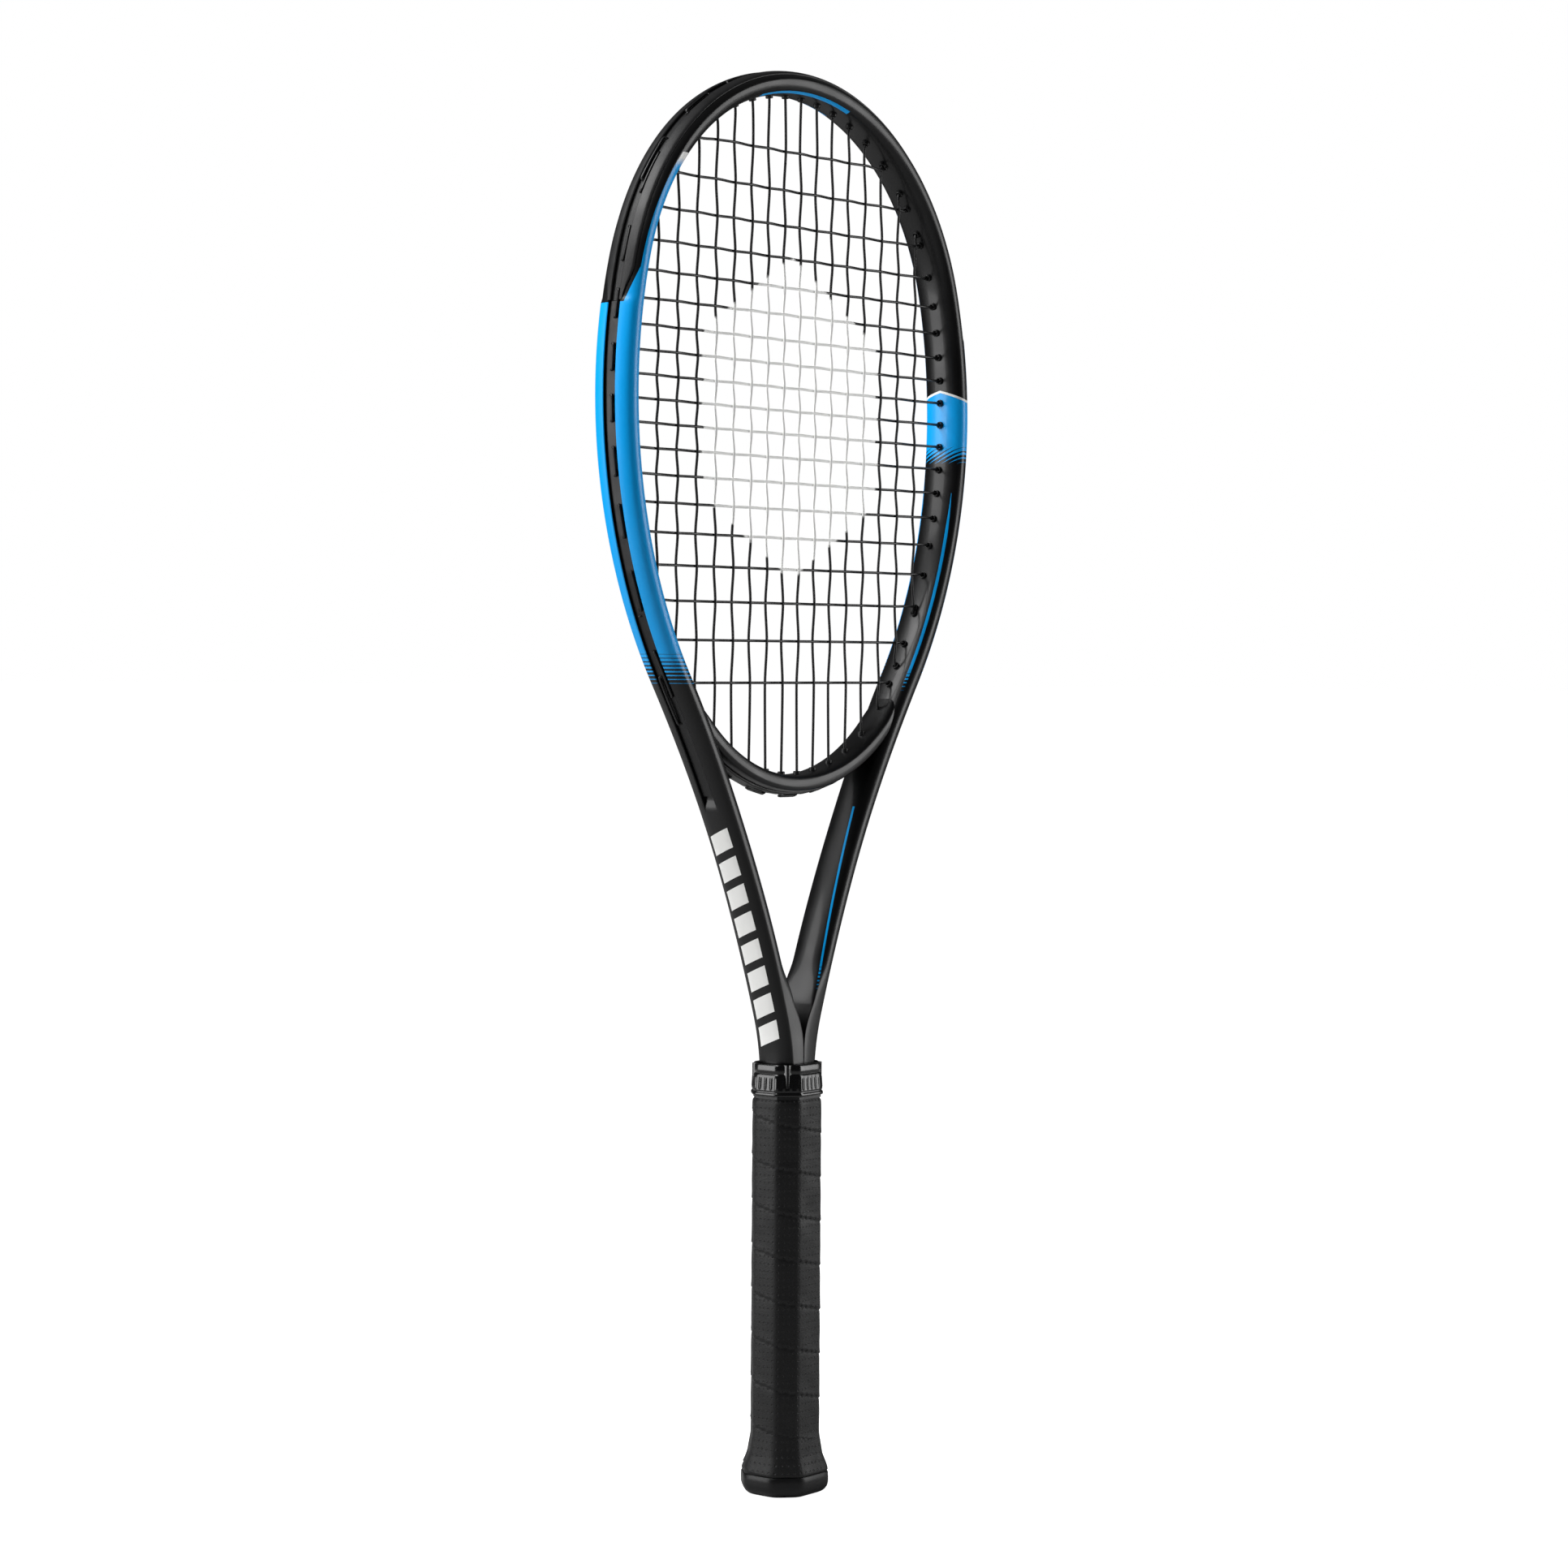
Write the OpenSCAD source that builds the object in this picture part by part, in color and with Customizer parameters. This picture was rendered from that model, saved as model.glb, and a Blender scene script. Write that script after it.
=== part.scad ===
// Strung tennis racket.
// A hollow hairpin tube runs round the head, down both arms and side by side through the handle.
// X lies in the string plane, Y is the beam's direction, Z runs from the butt end to the head.

/* [Frame tube] */
// Length from the butt end to the top of the bumper
length = 685.8; // [660:0.1:830]
// Radius of the tube's centreline round the top of the head
head_top_r = 123.7; // [110:0.1:150]
// Angle that the top arc turns on each side
head_top_sweep = 74.7; // [72:0.1:80]
// Radius of the tube's centreline along each side of the head
head_side_r = 239.5; // [210:0.1:290]
// Angle that each side arc turns
head_side_sweep = 48.6; // [44:0.1:50]
// Radius of each arm, which curves away from the axis
arm_r = 663; // [560:1:800]
// Radius of the bend that turns each arm into the shaft
shaft_bend_r = 110; // [90:1:135]
// Distance from the axis to the middle of each leg in the shaft
leg_x = 6.1; // [5.8:0.1:6.4]
// Depth of the tube in the string plane
tube_depth = 11.5; // [9.6:0.1:13.8]
// Depth of the tube across the string plane
tube_beam = 21.6; // [18:0.1:26]
// Corner radius of the tube
tube_corner_r = 4.6; // [3.8:0.1:4.7]
// Wall of the tube
tube_wall = 1.4; // [1.1:0.1:1.7]
// Width of the groove round the outside
groove_w = 7; // [6:0.1:8.4]
// Depth of the groove round the outside
groove_depth = 2.6; // [2.4:0.1:3.1]
// Angle of arm that the groove still runs along
groove_tail_sweep = 5.4; // [4.5:0.1:6.5]

/* [Throat bridge] */
// Inside length of the head, from the top to the bridge
head_inner_length = 325.6; // [310:0.1:335]
// Radius of the bridge's inner face
bridge_inner_r = 96.5; // [92:0.5:100]
// Depth of the bridge in the string plane
bridge_depth = 8.6; // [7.2:0.1:10.3]
// Depth of the bridge across the string plane
bridge_beam = 18; // [15:0.1:21]
// Corner radius of the bridge
bridge_corner_r = 3.4; // [2.8:0.1:3.5]
// Wall of the bridge round its foam core
bridge_wall = 1.4; // [1.1:0.1:1.7]
// Angle that the bridge turns on each side before it dies into the arm
bridge_sweep = 50; // [48:0.5:51]
// Angle that the bridge's foam core reaches on each side
core_sweep = 31.5; // [28:0.5:32]

/* [Strings and grommets] */
// Diameter of the string
string_d = 1.3; // [1.1:0.01:1.4]
// Number of main strings on each side of the axis
mains_per_side = 8; // [7:1:8]
// Distance from the axis to the first main string
main_first_x = 6.1; // [5.4:0.1:6.4]
// Gap between the first two main strings
main_pitch = 12.1; // [11.6:0.05:12.3]
// Growth of the main strings' spacing towards the sides
main_growth = 0.175; // [0.15:0.005:0.18]
// Number of cross strings
crosses = 19; // [17:1:19]
// Distance from the top of the head down to the narrowest cross spacing
cross_middle_drop = 158.1; // [155:0.1:161]
// Narrowest gap between two cross strings
cross_pitch = 11.05; // [10.8:0.05:11.1]
// Growth of the cross strings' spacing towards the top and bottom
cross_growth = 0.0382; // [0.036:0.0001:0.039]
// Cross strings above the narrowest spacing
crosses_above = 8.64; // [8.5:0.01:8.8]
// Outside diameter of a grommet barrel
barrel_d = 3.6; // [3.4:0.1:4]
// Bore of a grommet barrel
barrel_bore_d = 2.4; // [2.2:0.1:2.6]
// Length of barrel that stands proud of the frame's inside
barrel_proud = 1.3; // [0.8:0.1:2]
// Thickness of the strips that carry the barrels
strip_t = 1; // [0.8:0.1:1.2]
// Gap between a strip and the string that loops over it
string_lift = 0.25; // [0.2:0.01:0.29]
// Clearance on each side of a strip, and round a barrel
strip_clearance = 0.1; // [0.05:0.05:0.2]
// Angle of side arc that the bumper still covers
bumper_side_sweep = 5.6; // [4:0.1:8]
// Thickness of the bumper's wings
bumper_t = 1; // [0.8:0.1:1.2]

/* [Handle] */
// Height of the bare handle's upper end
handle_top_z = 197; // [190:0.5:198]
// Height of the bare handle's lower end
handle_bottom_z = 4; // [3.5:0.1:5]
// Wall of the handle on each narrow side of the shaft
handle_side_wall = 3.15; // [2.6:0.05:4]
// Wall of the handle on each wide face of the shaft
handle_face_wall = 2.5; // [2.2:0.05:3.5]
// Leg of each of the handle's bevels
handle_bevel = 7.1; // [6:0.1:8]
// Clearance between the handle's sleeve and the shaft
shaft_clearance = 0.05; // [0.02:0.01:0.1]
// Distance from the handle's end up to the end of the legs inside it
leg_setback = 6; // [4:0.5:10]
// Thickness of the double-sided tape on the handle
tape_t = 0.2; // [0.1:0.05:0.3]
// Thickness of the grip over the tape
grip_t = 1.4; // [1.1:0.1:1.8]
// Thickness of the grip's skived upper end
grip_end_t = 0.7; // [0.6:0.1:0.9]
// Length of the grip's skived upper end
grip_end_length = 6; // [4:0.5:8]
// Length of grip that reaches past the handle's upper end
grip_overhang = 0.5; // [0.3:0.1:0.8]
// Height of straight grip above the rim, before the flare
grip_foot_h = 1.7; // [1:0.1:2.5]

/* [Butt cap] */
// Height of the bare rim below the grip
rim_h = 10.3; // [8.5:0.1:12.5]
// How far the rim stands out from the bare handle
rim_proud = 6.1; // [5:0.1:7]
// Chamfer round the bottom of the rim
rim_chamfer = 2; // [1:0.1:2.4]
// Height at which the flare has run out
flare_top_z = 31; // [27:0.5:36]
// Thickness of the cap's skirt on the handle
skirt_t = 0.6; // [0.5:0.1:0.7]
// Height of the skirt's upper edge
skirt_top_z = 38; // [36.5:0.5:46]
// Width of the door's flange
door_w = 23.6; // [20:0.1:24]
// Depth of the door's flange
door_d = 18.6; // [15:0.1:20]
// Thickness of the door's flange
door_flange_t = 1; // [0.8:0.1:1.2]
// Distance that the flange lies above the rim's foot
door_recess = 0.5; // [0.3:0.1:0.8]
// Ledge of the cap that the flange lies against
door_ledge = 2; // [1.6:0.1:2.4]
// Clearance round the door
door_clearance = 0.15; // [0.1:0.05:0.3]
// Wall of the door's hollow plug
door_wall = 1.2; // [1:0.1:1.5]
// Gap between the door's plug and the ends of the legs
door_plug_gap = 2; // [1:0.1:3]

/* [Staples and collar] */
// Width of a staple's crown
staple_w = 9; // [7:0.5:11]
// Thickness of the staple's wire
staple_wire = 0.6; // [0.5:0.1:0.7]
// Wall of the handle left behind a staple's legs
staple_back = 0.25; // [0.1:0.05:0.5]
// Height of the staples
staple_z = 34.5; // [33:0.5:36]
// Height of the collar's lower edge
collar_z = 193.8; // [192:0.1:194]
// Height of the collar
collar_h = 15.5; // [13:0.1:17]
// How far the collar's lower edge stands out from the bare handle
collar_proud = 2.3; // [2.2:0.1:3]
// How far the collar's upper edge stands out from the bare handle
collar_top_proud = 1; // [0.9:0.1:1.3]
// Clearance inside the collar
collar_clearance = 0.3; // [0.25:0.05:0.4]
// Rise of the collar that its neck leaves room for
collar_travel = 5; // [4:0.5:6]
// Thickness of the finishing tape
finish_tape_t = 0.15; // [0.1:0.05:0.2]
// Height of finishing tape on the shaft above the handle
finish_tape_h = 6; // [4:0.5:7]

/* [Hidden] */

bend_fn = 240;
corner_fn = 24;
barrel_fn = 24;
string_sides = 6;
e = 0.01;

// Two arcs meet at a hairline seam, and a band inside their walls carries them across it
seam = 0.02;
seam_reach = 1.5;
seam_inset = 0.35;

// Share of the bridge's half width that strings pass through
bridge_string_share = 0.76;

// Unit vector in the X-Z plane at an angle from +X towards +Z
function dir(a) = [cos(a), sin(a)];

// Centres of the tube's arcs as [x, z], and the angles where one runs into the next
half_depth = tube_depth / 2;
side_start = 90 - head_top_sweep;
arm_start = side_start - head_side_sweep;
top_c = [0, length - half_depth - head_top_r];
side_c = top_c + (head_top_r - head_side_r) * dir(side_start);
arm_c = side_c + (head_side_r + arm_r) * dir(arm_start);
arm_end = -acos((leg_x + shaft_bend_r - arm_c[0]) / (shaft_bend_r - arm_r));
bend_c = arm_c + (shaft_bend_r - arm_r) * dir(arm_end);
bridge_c = [0, length - tube_depth - head_inner_length + bridge_inner_r];
bridge_r = bridge_inner_r + bridge_depth / 2;

bumper_end = side_start - bumper_side_sweep;
tail_end = arm_start + groove_tail_sweep;

// The web between the legs reaches up to where their inner faces leave it
shaft_w = 2 * (leg_x + half_depth);
handle_w = shaft_w + 2 * handle_side_wall;
handle_t = tube_beam + 2 * handle_face_wall;
web_inset = 1;
web_x = leg_x - half_depth + tube_wall / 2;
crotch_z = bend_c[1] + sqrt(pow(shaft_bend_r + half_depth, 2) - pow(bend_c[0] - web_x, 2));
shaft_bottom_z = handle_bottom_z + leg_setback;
groove_floor = half_depth - groove_depth;
string_rise = strip_t + string_lift + string_d / 2;
string_seat = groove_floor + string_rise;
strip_w = groove_w - 2 * strip_clearance;
hole_d = barrel_d + 2 * strip_clearance;
grip_proud = tape_t + grip_t;
grip_top_z = handle_top_z + grip_overhang;
flare_foot_z = rim_h + grip_foot_h;
cap_floor_z = handle_bottom_z;
collar_top_z = collar_z + collar_h;
tape_top_z = grip_top_z + finish_tape_h;

// How far each leg's outer face has bent away from the shaft's side at a height
function leg_spread(z) =
    let (r = shaft_bend_r - half_depth, rise = max(0, z - bend_c[1])) r - sqrt(r * r - rise * rise);

// Section shapes, with the outside of the head towards +X

module rounded_rect(w, h, r) {
    for (x = [-1, 1], y = [-1, 1])
        translate([x * (w / 2 - r), y * (h / 2 - r)]) circle(r, $fn = corner_fn);
    square([w, h - 2 * r], center = true);
    square([w - 2 * r, h], center = true);
}

module tube_outline() { rounded_rect(tube_depth, tube_beam, tube_corner_r); }

module outer_slot(depth, width) {
    translate([half_depth - depth, -width / 2]) square([depth + 1, width]);
}

module tube_cavity(kind) {
    difference() {
        rounded_rect(tube_depth - 2 * tube_wall, tube_beam - 2 * tube_wall, tube_corner_r - tube_wall);
        if (kind != "plain") outer_slot(groove_depth + tube_wall, groove_w + 2 * tube_wall);
        if (kind == "bumper") outer_slot(bumper_t + tube_wall, tube_beam);
    }
}

// Sweeps along the frame

// Arc of a section about c, stopping half a seam short of each end
module bend(c, r, from, to) {
    trim = seam / 2 / r * 180 / PI;
    translate([c[0], 0, c[1]])
        rotate([90, 0, 0])
            rotate([0, 0, from + trim])
                rotate_extrude(angle = to - from - 2 * trim, $fn = bend_fn) translate([r, 0]) children();
}

// Short bridge of a section across the seam at angle a of an arc
module across_seam(c, r, a) {
    reach = seam_reach / r * 180 / PI;
    bend(c, r, a - reach, a + reach) children();
}

module both_sides() {
    children();
    mirror([1, 0, 0]) children();
}

module upright(z_from, z_to) {
    translate([0, 0, z_from]) linear_extrude(z_to - z_from) children();
}

module tube_section(kind) {
    difference() {
        tube_outline();
        if (kind != "plain") outer_slot(groove_depth, groove_w);
        if (kind == "bumper") outer_slot(bumper_t, tube_beam);
        tube_cavity(kind);
    }
}

// Band that lies inside the tube's wall, clear of the groove
module tube_band() {
    outer = 2 * seam_inset;
    inner = 2 * (tube_wall - seam_inset);
    difference() {
        rounded_rect(tube_depth - outer, tube_beam - outer, tube_corner_r - outer / 2);
        rounded_rect(tube_depth - inner, tube_beam - inner, tube_corner_r - inner / 2);
        outer_slot(groove_depth + seam_inset, tube_beam);
    }
}

// Both legs side by side in one wrapped shaft
module shaft_section() {
    difference() {
        rounded_rect(shaft_w, tube_beam, tube_corner_r);
        for (s = [-1, 1]) translate([s * leg_x, 0]) tube_cavity("plain");
    }
}

// String holes. Each is [x, z, angle of its barrel outwards, length of its barrel].

mouth_inset = half_depth + barrel_proud;
barrel_len = mouth_inset + groove_floor;
mains = [for (i = [0:mains_per_side - 1]) main_first_x + main_pitch * i + main_growth * i * i];
cross_zs = [for (j = [0:crosses - 1])
    let (t = j - crosses_above) length - cross_middle_drop - cross_pitch * t - cross_growth * pow(t, 3)];
bridge_main_limit = (bridge_inner_r + bridge_depth) * sin(bridge_sweep) * bridge_string_share;

// Height on a circle at x, above (s = 1) or below (s = -1) its centre
function z_on(c, r, x, s) = c[1] + s * sqrt(r * r - pow(x - c[0], 2));
function x_on(c, r, z, s) = c[0] + s * sqrt(r * r - pow(z - c[1], 2));
function angle_from(c, x, z) = atan2(z - c[1], x - c[0]);

function top_hole(x) =
    let (z = z_on(top_c, head_top_r - mouth_inset, x, 1)) [x, z, angle_from(top_c, x, z), barrel_len];

side_foot_x = side_c[0] + (head_side_r - mouth_inset) * cos(arm_start);
side_head_z = side_c[1] + (head_side_r - mouth_inset) * sin(side_start);
side_foot_z = side_c[1] + (head_side_r - mouth_inset) * sin(arm_start);

function arm_hole(x, z) = [x, z, angle_from([x, z], arm_c[0], arm_c[1]), barrel_len];

function bottom_hole(x) =
    x < bridge_main_limit
    ? let (z = z_on(bridge_c, bridge_inner_r, x, -1) + barrel_proud)
        [x, z, -90, z - z_on(bridge_c, bridge_inner_r + bridge_depth, x, -1)]
    : x > side_foot_x
    ? let (z = z_on(side_c, head_side_r - mouth_inset, x, -1)) [x, z, angle_from(side_c, x, z), barrel_len]
    : arm_hole(x, z_on(arm_c, arm_r + mouth_inset, x, 1));

function side_hole(z) =
    z > side_head_z
    ? let (x = x_on(top_c, head_top_r - mouth_inset, z, 1)) [x, z, angle_from(top_c, x, z), barrel_len]
    : z > side_foot_z
    ? let (x = x_on(side_c, head_side_r - mouth_inset, z, 1)) [x, z, angle_from(side_c, x, z), barrel_len]
    : arm_hole(x_on(arm_c, arm_r + mouth_inset, z, -1), z);

top_holes = [for (x = mains) top_hole(x)];
bottom_holes = [for (x = mains) bottom_hole(x)];
side_holes = [for (z = cross_zs) side_hole(z)];
bumper_foot_z = side_c[1] + head_side_r * sin(bumper_end);
bumper_holes = concat(top_holes, [for (h = side_holes) if (h[1] > bumper_foot_z + barrel_d) h]);
strip_holes = concat(
    [for (h = side_holes) if (h[1] <= bumper_foot_z + barrel_d) h],
    [for (h = bottom_holes) if (h[0] >= bridge_main_limit) h]
);
bridge_holes = [for (h = bottom_holes) if (h[0] < bridge_main_limit) h];

// Cylinder along a hole, from a distance before its mouth to a distance past its barrel
module along_hole(h, d, before, past) {
    translate([h[0], 0, h[1]])
        rotate([0, 90 - h[2], 0])
            translate([0, 0, -before]) cylinder(d = d, h = h[3] + before + past, $fn = barrel_fn);
}

module barrels(holes) {
    for (h = holes) along_hole(h, barrel_d, 0, strip_t / 2);
}

module barrel_bores(holes) {
    for (h = holes) along_hole(h, barrel_bore_d, 1, 3);
}

// String routes as lists of [x, y, z]. The loops of the mains lie along one side of the groove
// and those of the crosses along the other, clear of the holes between them.

string_gap = 0.1;
weave = (string_d + string_gap) / 2;
loop_y = string_d + string_gap;
string_turn = 0.9;

function out_of(h, reach, y) = [h[0] + reach * cos(h[2]), y, h[1] + reach * sin(h[2])];
function flip(p, s) = [s * p[0], p[1], p[2]];

// From the loop in the groove in through the strip to the barrel's mouth
function way_in(h, s, y) = [
    flip(out_of(h, h[3] + string_rise, y), s),
    flip(out_of(h, h[3] + string_turn * strip_t, 0), s),
    flip(out_of(h, 0, 0), s)
];

// Point that lifts the middle of a loop from p to q onto the circle about c
function loop_middle(p, q, c, r) =
    let (m = (p + q) / 2, v = unit([m[0] - c[0], m[2] - c[1]])) [c[0] + r * v[0], m[1], c[1] + r * v[1]];

function unit(v) = v / norm(v);
function last(list) = list[len(list) - 1];
function reversed(list) = [for (i = [len(list) - 1:-1:0]) list[i]];
function joined(lists) = [for (list = lists) each list];

// One main string from the bridge up to the top, at x = s * mains[i]
function main_run(i, s) =
    let (b = bottom_holes[i], t = top_holes[i], k = (s > 0 ? i : i + 1) % 2)
    concat(
        way_in(b, s, loop_y),
        [for (j = [crosses - 1:-1:0])
            if (cross_zs[j] > b[1] + 2 && cross_zs[j] < t[1] - 2)
                [s * mains[i], weave * ((j + k) % 2 == 0 ? 1 : -1), cross_zs[j]]],
        reversed(way_in(t, s, loop_y))
    );

// One cross string from -X to +X
function cross_run(j) =
    let (h = side_holes[j], n = mains_per_side)
    concat(
        way_in(h, -1, -loop_y),
        [for (m = [-n:n - 1])
            let (i = m < 0 ? -m - 1 : m, s = m < 0 ? -1 : 1, k = (s > 0 ? i : i + 1) % 2)
            if (mains[i] < h[0] - 2)
                [s * mains[i], weave * ((j + k) % 2 == 0 ? -1 : 1), cross_zs[j]]],
        reversed(way_in(h, 1, -loop_y))
    );

main_runs = [for (m = [-mains_per_side:mains_per_side - 1])
    let (run = m < 0 ? main_run(-m - 1, -1) : main_run(m, 1))
    (m + mains_per_side) % 2 == 0 ? run : reversed(run)];
cross_runs = [for (j = [0:crosses - 1]) j % 2 == 0 ? cross_run(j) : reversed(cross_run(j))];

// The loop after a main run: over the head's top, under the bridge, or straight along an arm
function after_main(k) =
    k == len(main_runs) - 1 ? [] :
    let (p = last(main_runs[k]), q = main_runs[k + 1][0])
    k % 2 == 0 ? [loop_middle(p, q, top_c, head_top_r + string_seat)]
    : max(abs(p[0]), abs(q[0])) < bridge_main_limit
    ? [loop_middle(p, q, bridge_c, bridge_inner_r + bridge_depth + string_rise)]
    : [];

function after_cross(j) =
    j == crosses - 1 ? [] :
    let (p = last(cross_runs[j]), q = cross_runs[j + 1][0])
    min(p[2], q[2]) > side_head_z ? [loop_middle(p, q, top_c, head_top_r + string_seat)] : [];

main_route = joined([for (k = [0:len(main_runs) - 1]) concat(main_runs[k], after_main(k))]);
cross_route = joined([for (j = [0:crosses - 1]) concat(cross_runs[j], after_cross(j))]);

// Ring of points round a route's point, mitred between its two stretches
function ring(route, i) =
    let (
        n = len(route) - 1,
        before = unit(route[i] - route[max(i - 1, 0)] + (i == 0 ? route[1] - route[0] : [0, 0, 0])),
        after = unit(route[min(i + 1, n)] - route[i] + (i == n ? route[n] - route[n - 1] : [0, 0, 0])),
        along = unit(before + after),
        across = unit(cross(along, [0, 1, 0])),
        up = cross(across, along),
        stretch = min(1.5, 1 / max(0.1, along * after))
    )
    [for (k = [0:string_sides - 1])
        let (a = 360 * (k + 0.5) / string_sides)
        route[i] + string_d / 2 * (cos(a) * up + stretch * sin(a) * across)];

module swept_string(route) {
    n = len(route);
    points = joined([for (i = [0:n - 1]) ring(route, i)]);
    walls = [for (i = [0:n - 2], k = [0:string_sides - 1])
        let (k2 = (k + 1) % string_sides, a = i * string_sides)
        [a + k, a + k2, a + k2 + string_sides, a + k + string_sides]];
    first = [for (k = [string_sides - 1:-1:0]) k];
    last = [for (k = [0:string_sides - 1]) (n - 1) * string_sides + k];
    polyhedron(points, concat([first, last], walls), convexity = 10);
}

// Frame

module frame_tube() color([0.05, 0.05, 0.06]) {
    difference() {
        union() {
            bend(top_c, head_top_r, side_start, 180 - side_start) tube_section("bumper");
            both_sides() {
                bend(side_c, head_side_r, bumper_end, side_start) tube_section("bumper");
                bend(side_c, head_side_r, arm_start, bumper_end) tube_section("grooved");
                bend(arm_c, arm_r, 180 + arm_start, 180 + tail_end)
                    mirror([1, 0]) tube_section("grooved");
                bend(arm_c, arm_r, 180 + tail_end, 180 + arm_end) tube_section("plain");
                bend(bend_c, shaft_bend_r, 180 + arm_end, 180) tube_section("plain");
            }
            both_sides() {
                across_seam(top_c, head_top_r, side_start) tube_band();
                across_seam(side_c, head_side_r, bumper_end) tube_band();
                across_seam(side_c, head_side_r, arm_start) tube_band();
                across_seam(arm_c, arm_r, 180 + tail_end) mirror([1, 0]) tube_band();
                across_seam(arm_c, arm_r, 180 + arm_end) mirror([1, 0]) tube_band();
                across_seam(bend_c, shaft_bend_r, 180) mirror([1, 0]) tube_band();
            }
            upright(shaft_bottom_z, bend_c[1] - seam / 2) shaft_section();
            upright(bend_c[1] - web_inset, crotch_z)
                square([2 * web_x, tube_beam - 2 * web_inset], center = true);
        }
        both_sides() for (h = concat(bumper_holes, strip_holes)) along_hole(h, hole_d, 0, 3);
    }
}

// The bridge is trimmed where it meets the arms, and its ends are solid past the core
module throat_bridge() color([0.05, 0.05, 0.06]) {
    difference() {
        bend(bridge_c, bridge_r, -90 - bridge_sweep, -90 + bridge_sweep)
            rounded_rect(bridge_depth, bridge_beam, bridge_corner_r);
        both_sides() {
            bend(side_c, head_side_r, arm_start, arm_start + 10) tube_outline();
            bend(arm_c, arm_r, 180 + arm_start, 180 + arm_start + 10) tube_outline();
            for (h = concat(bridge_holes, strip_holes)) along_hole(h, hole_d, 0, 3);
        }
        core_sweep_body();
    }
}

module core_sweep_body() {
    bend(bridge_c, bridge_r, -90 - core_sweep, -90 + core_sweep)
        rounded_rect(bridge_depth - 2 * bridge_wall, bridge_beam - 2 * bridge_wall,
            bridge_corner_r - bridge_wall);
}

module bridge_foam_core() color([0.85, 0.82, 0.6]) {
    difference() {
        core_sweep_body();
        both_sides() for (h = bridge_holes) along_hole(h, hole_d, 0, 3);
    }
}

// Bumper and grommet strips

module strip_section() {
    translate([groove_floor, -strip_w / 2]) square([strip_t, strip_w]);
}

module strip_band() {
    translate([groove_floor + strip_t / 4, -strip_w / 4]) square([strip_t / 2, strip_w / 2]);
}

module bumper_section() {
    strip_section();
    for (s = [-1, 1])
        translate([groove_floor, s * (strip_w - strip_t) / 2 - strip_t / 2])
            square([groove_depth, strip_t]);
    intersection() {
        tube_outline();
        difference() {
            outer_slot(bumper_t, tube_beam);
            outer_slot(tube_depth, strip_w - 2 * strip_t);
        }
    }
}

module bumper_guard() color([0.08, 0.08, 0.09]) {
    difference() {
        union() {
            bend(top_c, head_top_r, side_start, 180 - side_start) bumper_section();
            both_sides() {
                bend(side_c, head_side_r, bumper_end, side_start) bumper_section();
                across_seam(side_c, head_side_r, side_start) strip_band();
                barrels(bumper_holes);
            }
        }
        both_sides() barrel_bores(bumper_holes);
    }
}

module side_strip() {
    difference() {
        union() {
            bend(side_c, head_side_r, arm_start, bumper_end) strip_section();
            bend(arm_c, arm_r, 180 + arm_start, 180 + tail_end) mirror([1, 0]) strip_section();
            across_seam(side_c, head_side_r, arm_start) strip_band();
            barrels(strip_holes);
        }
        barrel_bores(strip_holes);
    }
}

module grommet_strip_right() color([0.08, 0.08, 0.09]) side_strip();

module grommet_strip_left() color([0.08, 0.08, 0.09]) mirror([1, 0, 0]) side_strip();

module grommet_strip_throat() color([0.08, 0.08, 0.09]) {
    outer_r = bridge_inner_r + bridge_depth;
    reach = asin(max([for (h = bridge_holes) h[0]]) / outer_r) + 0.3;
    difference() {
        union() {
            bend(bridge_c, outer_r, -90 - reach, -90 + reach)
                translate([0, -strip_w / 2]) square([strip_t, strip_w]);
            both_sides() barrels(bridge_holes);
        }
        both_sides() barrel_bores(bridge_holes);
    }
}

// Strings

module main_string() color([0.12, 0.12, 0.13]) swept_string(main_route);

module cross_string() color([0.12, 0.12, 0.13]) swept_string(cross_route);

// Handle. The octagon grows by an offset from the bare handle on every face.

module octagon(grow) {
    x = handle_w / 2 + grow;
    y = handle_t / 2 + grow;
    c = handle_bevel + (2 - sqrt(2)) * grow;
    polygon([[x, y - c], [x - c, y], [c - x, y], [-x, y - c],
        [-x, c - y], [c - x, -y], [x - c, -y], [x, c - y]]);
}

module sleeve(z_from, z_to, inner, outer) {
    upright(z_from, z_to)
        difference() {
            octagon(outer);
            octagon(inner);
        }
}

module flare(z_from, grow_from, z_to, grow_to) {
    hull() {
        upright(z_from, z_from + e) octagon(grow_from);
        upright(z_to - e, z_to) octagon(grow_to);
    }
}

// The shaft's outline with clearance all round, and room for the legs to spread by an amount
module shaft_outline(clearance, spread = 0) {
    rounded_rect(shaft_w + 2 * (clearance + spread), tube_beam + 2 * clearance,
        tube_corner_r + clearance);
}

module handle_pallet() color([0.75, 0.7, 0.55]) {
    difference() {
        upright(handle_bottom_z, handle_top_z) octagon(0);
        upright(handle_bottom_z - 1, handle_top_z + 1) shaft_outline(shaft_clearance);
    }
}

module butt_cap() color([0.06, 0.06, 0.07]) {
    opening_w = door_w - 2 * door_ledge;
    opening_d = door_d - 2 * door_ledge;
    difference() {
        union() {
            flare(0, rim_proud - rim_chamfer, rim_chamfer, rim_proud);
            upright(rim_chamfer, rim_h) octagon(rim_proud);
            upright(rim_h, flare_foot_z) octagon(rim_proud - grip_proud);
            flare(flare_foot_z, rim_proud - grip_proud, flare_top_z, skirt_t);
            upright(flare_top_z - e, skirt_top_z) octagon(skirt_t);
        }
        upright(cap_floor_z, skirt_top_z + 1) octagon(0);
        upright(-1, door_recess + door_flange_t + door_clearance)
            square([door_w + 2 * door_clearance, door_d + 2 * door_clearance], center = true);
        upright(-1, cap_floor_z + 1)
            square([opening_w + 2 * door_clearance, opening_d + 2 * door_clearance], center = true);
    }
}

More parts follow.
